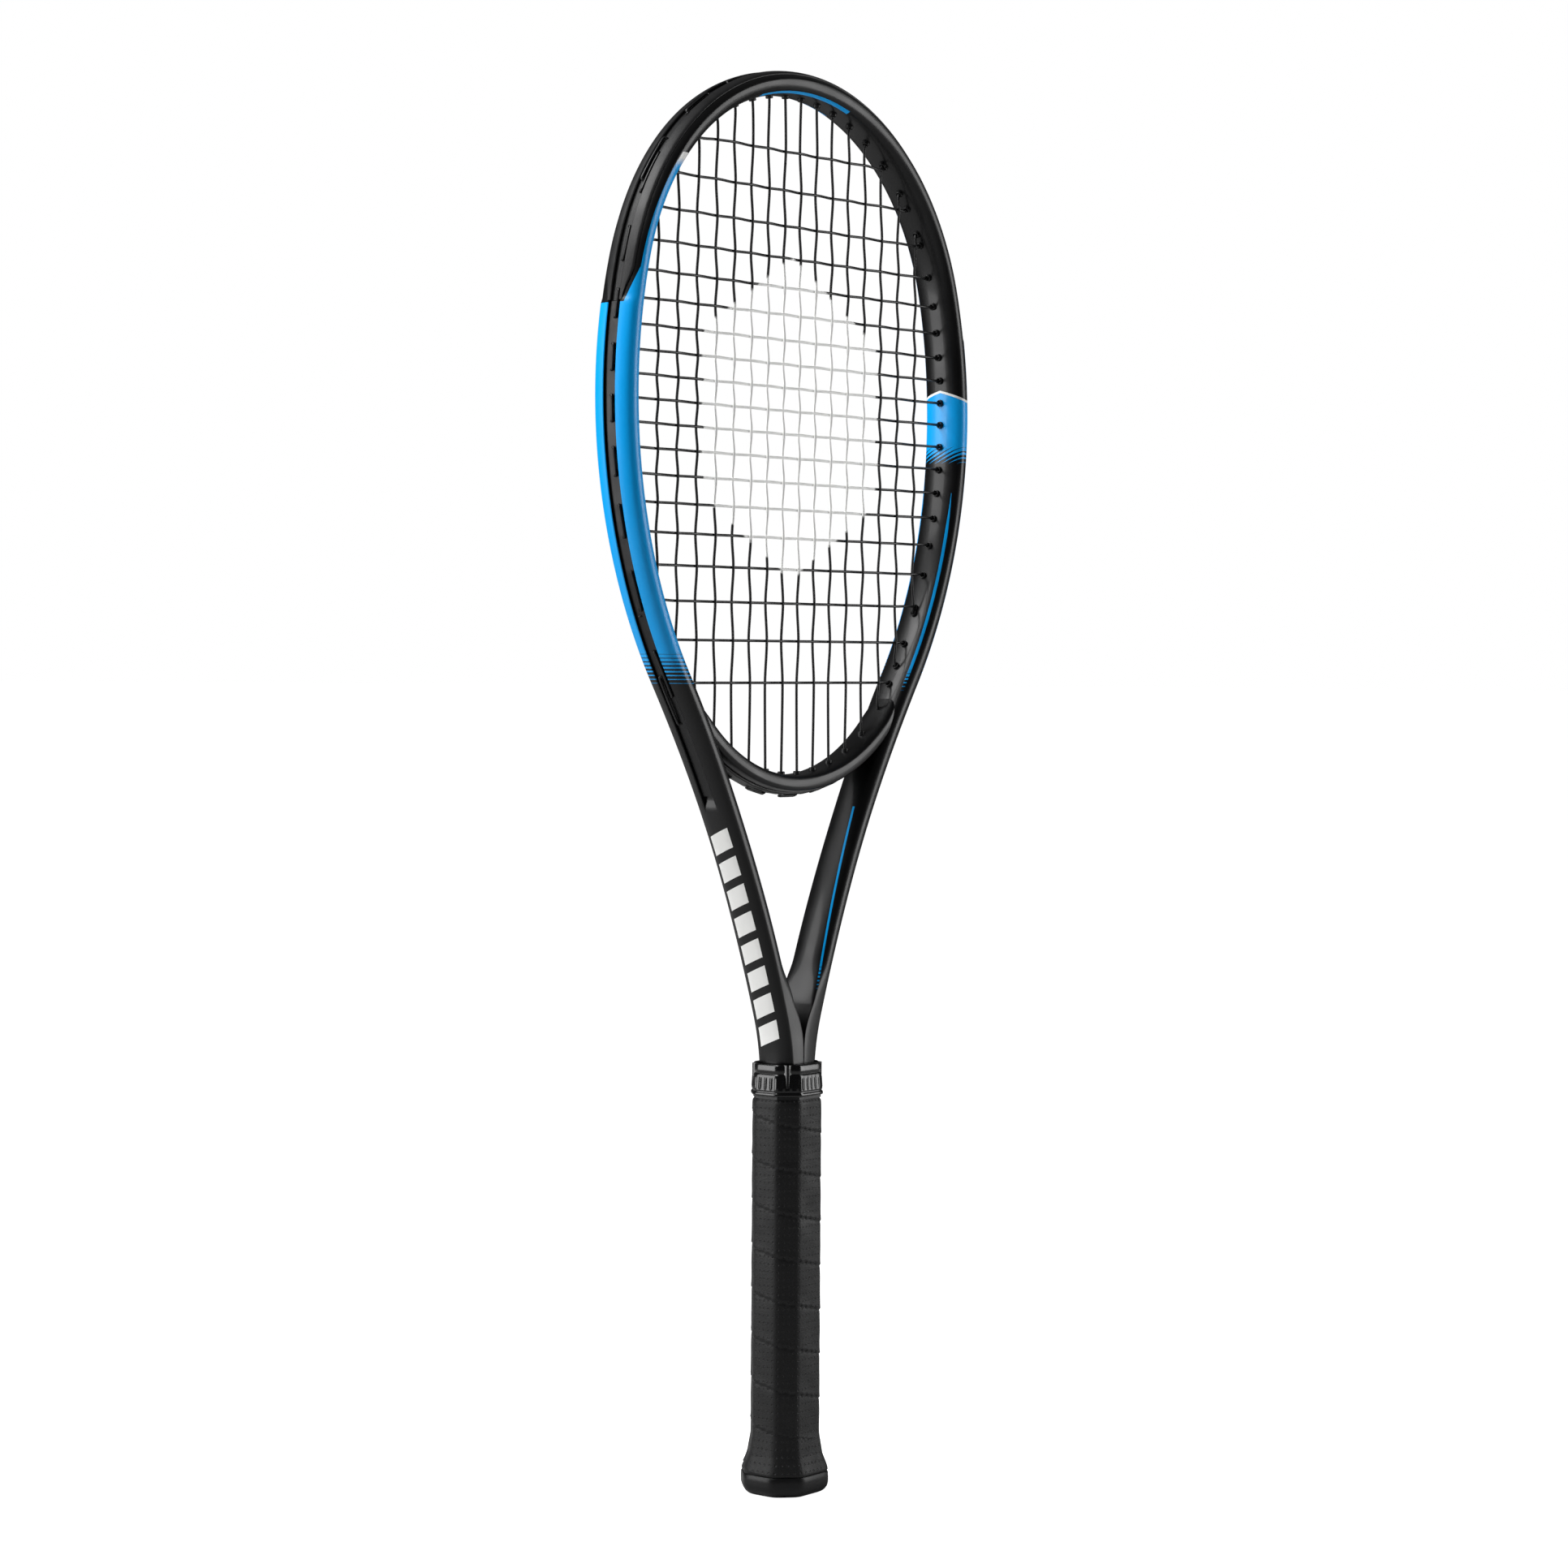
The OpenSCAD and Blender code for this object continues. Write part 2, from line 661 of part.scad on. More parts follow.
module butt_cap_door() color([0.1, 0.1, 0.11]) {
    plug_w = door_w - 2 * door_ledge;
    plug_d = door_d - 2 * door_ledge;
    upright(door_recess, door_recess + door_flange_t) square([door_w, door_d], center = true);
    upright(door_recess + door_flange_t - e, shaft_bottom_z - door_plug_gap)
        difference() {
            square([plug_w, plug_d], center = true);
            square([plug_w - 2 * door_wall, plug_d - 2 * door_wall], center = true);
        }
}

// Each staple crosses the skirt on a wide face and bites into the handle
module cap_staples() color([0.7, 0.7, 0.72]) {
    staple_leg = handle_face_wall + skirt_t - shaft_clearance - staple_back;
    for (s = [-1, 1]) scale([1, s, 1]) {
        translate([-staple_w / 2, handle_t / 2 + skirt_t, staple_z])
            cube([staple_w, staple_wire, staple_wire]);
        for (x = [-staple_w / 2, staple_w / 2 - staple_wire])
            translate([x, handle_t / 2 + skirt_t - staple_leg, staple_z])
                cube([staple_wire, staple_leg + e, staple_wire]);
    }
}

module grip_backing_tape() color([0.9, 0.9, 0.85]) {
    sleeve(skirt_top_z, handle_top_z, 0, tape_t);
}

module grip_wrap() color([0.03, 0.03, 0.035]) {
    skive_z = grip_top_z - grip_end_length;
    staple_h = staple_z + staple_wire;
    difference() {
        union() {
            upright(rim_h, flare_foot_z) octagon(rim_proud);
            flare(flare_foot_z, rim_proud, flare_top_z, grip_proud);
            upright(flare_top_z - e, skive_z) octagon(grip_proud);
            upright(skive_z - e, grip_top_z) octagon(tape_t + grip_end_t);
        }
        upright(rim_h - 1, flare_foot_z) octagon(rim_proud - grip_proud);
        flare(flare_foot_z, rim_proud - grip_proud, flare_top_z, skirt_t);
        upright(flare_top_z - e, skirt_top_z) octagon(skirt_t);
        upright(skirt_top_z - e, handle_top_z) octagon(tape_t);
        upright(handle_top_z - e, grip_top_z + 1) shaft_outline(shaft_clearance);
        translate([-staple_w / 2, -handle_t, staple_z]) cube([staple_w, 2 * handle_t, staple_wire]);
    }
}

module finishing_tape() color([0.15, 0.15, 0.16]) {
    inner = tape_t + grip_end_t;
    spread = leg_spread(tape_top_z);
    skive_z = grip_top_z - grip_end_length;
    sleeve(skive_z + 1, grip_top_z, inner, inner + finish_tape_t);
    upright(grip_top_z, grip_top_z + finish_tape_t)
        difference() {
            octagon(inner + finish_tape_t);
            shaft_outline(shaft_clearance, spread);
        }
    upright(grip_top_z + finish_tape_t, tape_top_z)
        difference() {
            shaft_outline(shaft_clearance + finish_tape_t, spread);
            shaft_outline(shaft_clearance, spread);
        }
}

module grip_collar() color([0.04, 0.04, 0.045]) {
    inner = tape_t + grip_end_t + finish_tape_t + collar_clearance;
    step_z = grip_top_z + finish_tape_t + collar_clearance;
    neck = shaft_clearance + finish_tape_t + collar_clearance;
    difference() {
        flare(collar_z, collar_proud, collar_top_z, collar_top_proud);
        upright(collar_z - 1, step_z) octagon(inner);
        upright(step_z - e, collar_top_z + 1)
            shaft_outline(neck, leg_spread(collar_top_z + collar_travel));
    }
}

frame_tube();
throat_bridge();
bridge_foam_core();
bumper_guard();
grommet_strip_left();
grommet_strip_right();
grommet_strip_throat();
main_string();
cross_string();
handle_pallet();
butt_cap();
butt_cap_door();
cap_staples();
grip_backing_tape();
grip_wrap();
finishing_tape();
grip_collar();
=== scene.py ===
"""Strung tennis racket: finished pieces and materials over the racket's CAD frame.

X lies in the string plane, Y runs across it and Z runs from the butt end to the crown.
Shapes are worked out in millimetres and go into the meshes in metres.
"""

from functools import partial
from math import acos, asin, cos, degrees, exp, pi, radians, sin, sqrt

import bmesh
import bpy
from mathutils import Matrix, Vector


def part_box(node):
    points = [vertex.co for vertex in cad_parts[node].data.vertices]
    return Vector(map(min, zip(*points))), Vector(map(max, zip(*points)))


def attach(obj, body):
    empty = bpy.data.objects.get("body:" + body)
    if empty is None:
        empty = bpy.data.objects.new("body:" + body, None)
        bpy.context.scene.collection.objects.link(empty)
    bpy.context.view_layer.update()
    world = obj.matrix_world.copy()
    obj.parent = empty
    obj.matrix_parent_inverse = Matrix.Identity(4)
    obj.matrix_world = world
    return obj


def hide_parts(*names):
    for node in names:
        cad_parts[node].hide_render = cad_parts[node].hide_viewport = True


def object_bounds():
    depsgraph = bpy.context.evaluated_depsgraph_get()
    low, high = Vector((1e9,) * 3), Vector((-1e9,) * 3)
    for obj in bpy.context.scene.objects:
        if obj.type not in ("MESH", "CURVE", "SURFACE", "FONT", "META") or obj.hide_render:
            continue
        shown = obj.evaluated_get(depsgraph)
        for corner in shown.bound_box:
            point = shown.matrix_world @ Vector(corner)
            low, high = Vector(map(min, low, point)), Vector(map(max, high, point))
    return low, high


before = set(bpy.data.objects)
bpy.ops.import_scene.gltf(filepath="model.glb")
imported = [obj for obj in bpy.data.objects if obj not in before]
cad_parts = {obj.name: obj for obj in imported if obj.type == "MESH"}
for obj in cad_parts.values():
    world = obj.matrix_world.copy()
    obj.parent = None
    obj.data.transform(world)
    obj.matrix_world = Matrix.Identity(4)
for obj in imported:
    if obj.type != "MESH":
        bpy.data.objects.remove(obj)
CAD_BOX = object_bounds()
MM = 0.001

bl_info = {
    "name": "Tennis racket",
    "version": (1, 0, 0),
    "blender": (4, 5, 0),
    "location": "View3D > Sidebar > Racket",
    "description": "Builds a strung tennis racket's pieces and finishes over its CAD frame",
    "category": "Object",
}


def linear(code):
    """The linear colour of an sRGB hex value such as 0A75B0."""
    parts = [int(code[i : i + 2], 16) / 255 for i in (0, 2, 4)]
    return tuple(p / 12.92 if p <= 0.04045 else ((p + 0.055) / 1.055) ** 2.4 for p in parts)


def size(name, description, default, **settings):
    """A number, in millimetres or degrees unless its settings say otherwise."""
    return bpy.props.FloatProperty(name=name, description=description, default=default, **settings)


def paint(name, description, code):
    """A colour given as an sRGB hex value."""
    return bpy.props.FloatVectorProperty(
        name=name, description=description, subtype="COLOR", default=linear(code)
    )


class RacketSizes(bpy.types.PropertyGroup):
    """Sizes of the racket, in millimetres and degrees."""

    length: size("Length", "From the butt end to the crown", round(CAD_BOX[1][2] / MM, 2))
    head_top_r: size("Crown radius", "Radius of the tube's centreline round the crown", 123.7)
    head_top_sweep: size("Crown sweep", "Degrees that the crown's arc turns on each side", 74.7)
    head_side_r: size("Side radius", "Radius of the tube's centreline beside the strings", 239.5)
    head_side_sweep: size("Side sweep", "Degrees that each side arc turns", 48.6)
    arm_r: size("Arm radius", "Radius of each arm", 663.0)
    shaft_bend_r: size("Shaft bend", "Radius of the bend from an arm into the shaft", 110.0)
    leg_x: size("Leg offset", "Distance from the axis to the middle of a leg", 6.1)
    tube_depth: size("Tube depth", "Depth of the tube in the string plane", 11.5)
    groove_depth: size("Groove depth", "Depth of the groove round the outside", 2.6)
    string_d: size("String", "Diameter of the string", 1.3)
    wrap_pitch: size("Wrap pitch", "Height that the grip climbs in one turn", 21.5)


class RacketColours(bpy.types.PropertyGroup):
    """Paint and moulding colours of the racket."""

    black: paint("Black lacquer", "Ground colour of the frame", "080809")
    blue: paint("Blue lacquer", "Bands and pinstripes", "009DE8")
    white: paint("White lacquer", "Bars and fine lines", "E6E6E4")
    string: paint("String", "Polyester string", "121213")
    ink: paint("String ink", "Ink rubbed onto the strings", "F0F0EE")
    grip: paint("Grip", "Leatherette of the grip", "09090A")


class RacketStage(bpy.types.PropertyGroup):
    """Camera and lights round the racket."""

    azimuth: size("Azimuth", "Turn of the camera", radians(-51.5), subtype="ANGLE")
    elevation: size("Elevation", "Rise of the camera", radians(1.907), subtype="ANGLE")
    roll: size("Roll", "Roll of the camera", radians(0.366), subtype="ANGLE")
    distance: size("Distance", "From the camera to its target", 1.777, unit="LENGTH")
    lens: size("Lens", "Focal length in millimetres", 84.32)
    side_light: size("Side lights", "Power of each tall softbox", 20.0, unit="POWER")
    top_light: size("Top light", "Power of the overhead softbox", 24.0, unit="POWER")


# The tube's centreline

def direction(angle):
    """Unit vector in the X-Z plane, turned from +X towards +Z."""
    return Vector((cos(angle), 0, sin(angle)))


class Centreline:
    """The tube's centreline from the crown down one side to the end of its leg.

    A distance along it is positive on the +X side and negative on the -X side. Its outward
    normal turns with the arcs, and has the same angle on both sides of each joint between arcs.
    """

    def __init__(self, sizes):
        self.half = sizes.tube_depth / 2
        self.side_start = radians(90 - sizes.head_top_sweep)
        self.arm_start = self.side_start - radians(sizes.head_side_sweep)
        top = Vector((0, 0, sizes.length - self.half - sizes.head_top_r))
        side = top + (sizes.head_top_r - sizes.head_side_r) * direction(self.side_start)
        arm = side + (sizes.head_side_r + sizes.arm_r) * direction(self.arm_start)
        spread = (sizes.leg_x + sizes.shaft_bend_r - arm.x) / (sizes.shaft_bend_r - sizes.arm_r)
        arm_end = -acos(spread)
        bend = arm + (sizes.shaft_bend_r - sizes.arm_r) * direction(arm_end)
        self.top, self.side, self.leg_top = top, side, Vector((sizes.leg_x, 0, bend.z))
        self.arcs = [
            (top, sizes.head_top_r, pi / 2, self.side_start),
            (side, sizes.head_side_r, self.side_start, self.arm_start),
            (arm, -sizes.arm_r, self.arm_start, arm_end),
            (bend, -sizes.shaft_bend_r, arm_end, 0.0),
        ]
        self.known = {}
        self.ends = []
        total = 0.0
        for _, radius, start, end in self.arcs:
            total += abs(radius * (end - start))
            self.ends.append(total)

    def at(self, s):
        """(point, outward normal) at a distance from the crown."""
        if s not in self.known:
            self.known[s] = self.measured(s)
        return self.known[s]

    def measured(self, s):
        rest = abs(s)
        for centre, radius, start, end in self.arcs:
            length = abs(radius * (end - start))
            if rest <= length:
                angle = start + (end - start) * rest / length
                point = centre + radius * direction(angle)
                break
            rest -= length
        else:
            angle = 0.0
            point = self.leg_top - Vector((0, 0, rest))
        normal = direction(angle)
        if s < 0:
            point.x, normal.x = -point.x, -normal.x
        return point, normal

    def find(self, low, high, reading, value):
        """Distance at which a falling reading of the centreline reaches a value."""
        for _ in range(40):
            middle = (low + high) / 2
            if reading(middle) > value:
                low = middle
            else:
                high = middle
        return (low + high) / 2


def between(value, points):
    """Smooth value at a height from (height, value) pairs in rising order."""
    if value <= points[0][0]:
        return points[0][1]
    for (low, a), (high, b) in zip(points, points[1:]):
        if value <= high:
            t = (value - low) / (high - low)
            return a + (b - a) * t * t * (3 - 2 * t)
    return points[-1][1]


def ease(value, start, end):
    """0 at start, 1 at end, smooth between."""
    t = min(1.0, max(0.0, (value - start) / (end - start)))
    return t * t * (3 - 2 * t)


# Beam of the tube across the strings at heights up the racket
BEAM = [(190, 20.6), (255, 21.0), (320, 20.3), (395, 21.5), (524, 22.8), (640, 21.3), (680, 21.0)]
SQUARENESS = 2.6
GROOVE_HALF = 3.5
BARREL_PROUD = 1.3
# The tube's outer face is sunk this far under the bumper
SUNK = 0.75
# Throat bridge: inner radius and depth, how far its inside lies under the crown's, and the
# distance from the axis within which a main string ends in it
BRIDGE_R, BRIDGE_T, STRUNG_H, BRIDGE_MAINS = 96.5, 8.6, 325.6, 61
# Bare handle, halved: width, depth and edge of the wide side
HANDLE_HALF = (15, 13.3, 7.1)
STRIP_T = 1.0
STRING_LIFT = 0.25
WEAVE_GAP = 0.1
# The mains are pulled tighter, so the crosses take more of the bend where they pass
MAIN_SHARE = 0.38


# Mesh making

def loft(name, stations, count, point, closed=False):
    """Sweep a ring of points through stations and return it as an object.

    point(station, k) gives (place in mm, distance along, distance out), and the last two
    become the UV map "route" in metres.
    """
    bm = bmesh.new()
    order = bm.verts.layers.int.new("order")
    along = bm.verts.layers.float.new("along")
    out = bm.verts.layers.float.new("out")
    ring = bmesh.ops.create_circle(bm, cap_ends=False, segments=count, radius=1)["verts"]
    for k, vert in enumerate(ring):
        vert[order] = k
    edges = list(bm.edges)
    first = edges

    def settle(verts, station):
        for vert in verts:
            place, s, r = point(station, vert[order])
            vert.co = Vector(place) * MM
            vert[along], vert[out] = s * MM, r * MM

    settle(ring, stations[0])
    for station in stations[1:]:
        made = bmesh.ops.extrude_edge_only(bm, edges=edges)["geom"]
        verts = {g for g in made if isinstance(g, bmesh.types.BMVert)}
        edges = [g for g in made if isinstance(g, bmesh.types.BMEdge) and set(g.verts) <= verts]
        settle(verts, station)
    if closed:
        bmesh.ops.bridge_loops(bm, edges=first + edges)
    else:
        bmesh.ops.holes_fill(bm, edges=first + edges, sides=0)
    bmesh.ops.recalc_face_normals(bm, faces=bm.faces)
    if bm.calc_volume(signed=True) < 0:
        bmesh.ops.reverse_faces(bm, faces=bm.faces)
    uv = bm.loops.layers.uv.new("route")
    for face in bm.faces:
        face.smooth = True
        for corner in face.loops:
            corner[uv].uv = (corner.vert[along], corner.vert[out])
    return finished(name, bm)


def finished(name, bm):
    """Turn a bmesh into an object at the origin, with its place in its mesh."""
    mesh = bpy.data.meshes.new(name)
    bm.to_mesh(mesh)
    bm.free()
    piece = bpy.data.objects.new(name, mesh)
    bpy.context.scene.collection.objects.link(piece)
    return piece


def place_piece(piece, material, body, node, angle=None):
    """Give a piece its finish and the body it rides on, and hide its CAD node; edges past an angle are crisp.
    """
    if angle:
        piece.data.shade_smooth()
        piece.data.set_sharp_from_angle(angle=radians(angle))
    piece.data.materials.append(material)
    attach(piece, body)
    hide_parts(node)


# Tube sections, as rings of (out, across) in mm

def oval(half, beam, angle, inner_power):
    """Point of a squared oval; its inner half may be squarer than its outer half."""
    c, s = cos(angle), sin(angle)
    power = SQUARENESS if c >= 0 else inner_power
    return (
        half * abs(c) ** (2 / power) * (1 if c >= 0 else -1),
        beam / 2 * abs(s) ** (2 / power) * (1 if s >= 0 else -1),
    )


def skin(half, beam, across):
    """How far out the squared oval's outer face lies at a distance across."""
    return half * max(0.0, 1 - abs(2 * across / beam) ** SQUARENESS) ** (1 / SQUARENESS)


def tube_ring(half, beam, groove, inner_power):
    """Outline of the tube, with its string groove this deep."""
    floor = [(skin(half, beam, y) - groove, y) for y in (-3.4, -1.7, 0, 1.7, 3.4)]
    lip = [(skin(half, beam, GROOVE_HALF) - 0.3 * min(1, groove), GROOVE_HALF)]
    start = asin((3.9 * 2 / beam) ** (SQUARENESS / 2))
    shell = [oval(half, beam, start + (2 * pi - 2 * start) * i / 43, inner_power) for i in range(44)]
    return floor + lip + shell + [(r, -y) for r, y in lip]


def bumper_ring(half, beam, reach):
    """Outline of the bumper: two wings, a channel between them and the strip under it."""
    top = [(skin(half, beam, y), y) for y in [reach + (3.0 - reach) * i / 8 for i in range(9)]]
    top[0] = (top[0][0] - 0.35, reach)
    side = top + [(skin(half, beam, 2.6) - 0.35, 2.55), (half - 1.6, 2.4)]
    under = [(half - 2.5, 3.3), (half - 1.2, 3.35)]
    under += [(skin(half, beam, y) - 0.8, y) for y in (4.4, 5.6, 6.8) if y < reach - 0.6]
    under += [(skin(half, beam, reach) - 0.8, reach - 0.1)] * (5 - len(under) + 1)
    return side + [(r, -y) for r, y in reversed(side)] + [(r, -y) for r, y in reversed(under)] + under


# Node trees

def add_node(tree, kind, *values, **settings):
    """Add a shader node, as Kind, Kind/OPERATION or a Math node's OPERATION; return its first output.

    Values go to its inputs in order. Settings go to the inputs of that name, with _ for a
    space, or to the node's own attributes.
    """
    if kind.isupper():
        kind = "Math/" + kind
    kind, _, operation = kind.partition("/")
    node = tree.nodes.new("ShaderNode" + kind)
    if operation:
        node.operation = operation
    wanted = list(enumerate(values))
    for key, value in settings.items():
        if key.replace("_", " ") in node.inputs:
            wanted.append((key.replace("_", " "), value))
        else:
            setattr(node, key, value)
    for key, value in wanted:
        if isinstance(value, bpy.types.NodeSocket):
            tree.links.new(value, node.inputs[key])
        elif value is not None:
            node.inputs[key].default_value = value
    return node.outputs[0] if node.outputs else node


def adder(owner):
    """Clear the node tree of a material or a world and return the function that adds its nodes."""
    owner.use_nodes = True
    owner.node_tree.nodes.clear()
    return partial(add_node, owner.node_tree)


def finish(name, **settings):
    """A new material with one Principled shader; returns it, what adds its nodes, and the shader."""
    material = bpy.data.materials.new(name)
    add = adder(material)
    shader = add("BsdfPrincipled", **settings)
    add("OutputMaterial", Surface=shader)
    return material, add, shader.node


def feed(shader, **sources):
    """Link sources to a shader's inputs of those names, with _ for a space."""
    for key, source in sources.items():
        shader.id_data.links.new(source, shader.inputs[key.replace("_", " ")])


def mottle(add, scale, detail, low, high):
    """Cloudy values from low to high over the object's own coordinates."""
    coords = add("TexCoord").node.outputs["Object"]
    cloud = add("TexNoise", Vector=coords, Scale=scale, Detail=detail)
    return add("MapRange", Value=cloud, From_Min=0.3, From_Max=0.7, To_Min=low, To_Max=high)


def opaque(colour):
    """A colour with its alpha, for a shader socket."""
    return (*colour, 1.0)


def millimetres(add):
    """X, Y and Z of the object's own coordinates in mm."""
    coords = add("TexCoord").node.outputs["Object"]
    return add("SeparateXYZ", add("VectorMath/MULTIPLY", coords, (1000, 1000, 1000))).node.outputs


def route(add):
    """Distance along and distance out from the UV map "route", in mm."""
    coords = add("UVMap", uv_map="route")
    return add("SeparateXYZ", add("VectorMath/MULTIPLY", coords, (1000, 1000, 0))).node.outputs


def grain(add, shader, size, height, roughness, spread):
    """Moulded or sprayed grain of a size in mm: bump, and a little change in roughness."""
    coords = add("TexCoord").node.outputs["Object"]
    noise = add("TexNoise", Vector=coords, Scale=1000 / size, Detail=3.0)
    bump = add("Bump", Height=noise, Distance=height * MM, Strength=1.0)
    feed(shader, Normal=bump, Roughness=mottle(add, 60.0, 4.0, roughness - spread, roughness + spread))


# Gloss of the clear lacquer
LACQUER = {"Coat_Weight": 0.12, "Coat_Roughness": 0.1, "Specular_IOR_Level": 0.22}
# The paint's edges run round the tube's corners: shares of the distance across and of the distance out
ACROSS, OUT = 0.78, 0.62
# Flat top of the side band, and the foot and height of its hatch
BAND_TOP, BAND_FOOT, BAND_FADE = 566.0, 391.0, 17.0
# White chevron's peak over the block, and the foot and height of the block's hatch
BLOCK_PEAK, BLOCK_FOOT, BLOCK_FADE = 539.7, 504.0, 9.0
# Slanting bars: from one to the next, foot of the lowest and number
BAR_PITCH, BAR_FOOT, BARS = 13.35, 219.5, 8


def lacquered_carbon(colours):
    """Carbon layup under sprayed paint and clear lacquer: deep gloss with faint orange peel."""
    material, add, shader = finish("lacquered_carbon_sprayed", IOR=1.5, **LACQUER)
    x, y, z = millimetres(add)
    _, out, _ = route(add)
    grain(add, shader, 1.6, 0.02, 0.34, 0.05)

    # The paint repeats half a turn round the axis, so one face of each side is its painted face
    facing = add("MULTIPLY", y, add("SIGN", x))
    painted = add("GREATER_THAN", facing, 0.0)
    plain = add("SUBTRACT", 1.0, painted)
    line = add("FRACT", add("DIVIDE", z, 1.7))

    # Band along the side: outer face and painted face, up to a long point and down to a hatch
    corner = add("MapRange", Value=z, From_Min=485.0, From_Max=500.0, To_Min=-6.6, To_Max=-5.8)
    limit = add("MULTIPLY_ADD", painted, corner, 2.5)
    band = add("GREATER_THAN", out, limit)
    round_edge = add("MULTIPLY_ADD", out, -OUT, add("MULTIPLY", facing, ACROSS))
    slope = add("MULTIPLY_ADD", z, 0.345, 1.05 - BAND_TOP * 0.345)
    edge = add("MINIMUM", slope, add("MULTIPLY_ADD", z, 0.025, 6.6 - 582 * 0.025))
    point = add("MULTIPLY", add("GREATER_THAN", round_edge, edge), painted)
    point = add("MULTIPLY", point, add("LESS_THAN", z, 637.0))
    band_top = add("MAXIMUM", point, add("LESS_THAN", z, BAND_TOP))
    fade = add("MULTIPLY_ADD", z, 1 / BAND_FADE, -BAND_FOOT / BAND_FADE)
    band_hatch = add("LESS_THAN", line, fade)
    side_band = add("MULTIPLY", band, add("MULTIPLY", band_top, band_hatch))

    # Block on the other faces under a white chevron, over slanting hatch
    rest = add("SUBTRACT", 1.0, band)
    round_inside = add("ADD", add("ABSOLUTE", y), out)
    peak = add("MULTIPLY_ADD", round_inside, -0.27, BLOCK_PEAK)
    under_peak = add("MULTIPLY", rest, add("LESS_THAN", z, peak))
    below_line = add("LESS_THAN", z, add("SUBTRACT", peak, 1.2))
    slant = add("FRACT", add("DIVIDE", add("MULTIPLY_ADD", y, 0.45, z), 1.9))
    block_hatch = add("LESS_THAN", slant, add("MULTIPLY_ADD", z, 1 / BLOCK_FADE, -BLOCK_FOOT / BLOCK_FADE))
    block = add("MULTIPLY", under_peak, add("MULTIPLY", below_line, block_hatch))
    chevron = add("SUBTRACT", under_peak, add("MULTIPLY", under_peak, below_line))

    # Pinstripes up the plain face's inner corner and down the arm, with tapering tops and hatched feet
    round_corner = add("MULTIPLY_ADD", out, OUT, add("MULTIPLY", facing, -ACROSS))
    taper = add("MapRange", Value=z, From_Min=489.0, From_Max=470.0, To_Min=0.1, To_Max=0.75)
    stripes = 0.0
    upper, arm = (0.0, 3.7, taper, 489.0, 389.0, 11.0), (-0.0573, 19.0, 0.5, 332.0, 244.0, 13.0)
    for lean, offset, half, top, foot, fade in (upper, arm):
        middle = add("MULTIPLY_ADD", z, lean, offset)
        near = add("ABSOLUTE", add("SUBTRACT", round_corner, middle))
        stripe = add("MULTIPLY", add("LESS_THAN", near, half), plain)
        stripe = add("MULTIPLY", stripe, add("LESS_THAN", z, top))
        hatch = add("LESS_THAN", line, add("MULTIPLY_ADD", z, 1 / fade, -foot / fade))
        stripes = add("MAXIMUM", stripes, add("MULTIPLY", stripe, hatch))

    # Fine line on the inner corner of the crown
    crown = add("LESS_THAN", add("ABSOLUTE", add("ADD", out, 4.7)), 0.45)
    aside = add("ABSOLUTE", x)
    crown = add("MULTIPLY", crown, add("LESS_THAN", aside, 34.0))
    crown = add("MULTIPLY", crown, add("GREATER_THAN", z, 600.0))

    # The groove stays black
    wide = add("GREATER_THAN", add("ABSOLUTE", y), GROOVE_HALF + 0.02)
    groove = add("MAXIMUM", wide, add("LESS_THAN", out, 0.0))
    blue = add("MAXIMUM", side_band, block)
    blue = add("MAXIMUM", blue, stripes)
    blue = add("MULTIPLY", add("MAXIMUM", blue, crown), groove)

    # Plain slanting bars down the outer face of each arm
    leaning = add("MULTIPLY_ADD", y, 0.4, z)
    bar = add("FRACT", add("MULTIPLY_ADD", leaning, 1 / BAR_PITCH, -BAR_FOOT / BAR_PITCH))
    bar = add("LESS_THAN", bar, 0.7)
    bar = add("MULTIPLY", bar, add("GREATER_THAN", out, 3.0))
    bar = add("MULTIPLY", bar, add("LESS_THAN", add("ABSOLUTE", y), 6.0))
    middle = add("ABSOLUTE", add("SUBTRACT", leaning, BAR_FOOT + BARS / 2 * BAR_PITCH))
    bar = add("MULTIPLY", bar, add("LESS_THAN", middle, BARS / 2 * BAR_PITCH))

    # The band's long point turns white
    tip_white = add("MapRange", Value=z, From_Min=630.0, From_Max=634.0, To_Min=0.0, To_Max=1.0)
    tip_white = add("MULTIPLY", tip_white, side_band)
    white = add("MAXIMUM", add("MAXIMUM", chevron, bar), tip_white)

    ground = add("VectorMath/SCALE", tuple(colours.black), Scale=mottle(add, 35.0, 5.0, 0.85, 1.15))
    colour = add("MixRGB", blue, ground, opaque(colours.blue))
    feed(shader, Base_Color=add("MixRGB", white, colour, opaque(colours.white)))
    return material


def moulded(name, code, roughness, size=0.5, height=0.03, **settings):
    """Injection-moulded or cast plastic: even colour, a fine grain and slight mottling."""
    material, add, shader = finish(name, **{"Specular_IOR_Level": 0.25, **settings})
    grain(add, shader, size, height, roughness, 0.06)
    shade = mottle(add, 180.0, 4.0, 0.8, 1.2)
    feed(shader, Base_Color=add("VectorMath/SCALE", linear(code), Scale=shade))
    return material


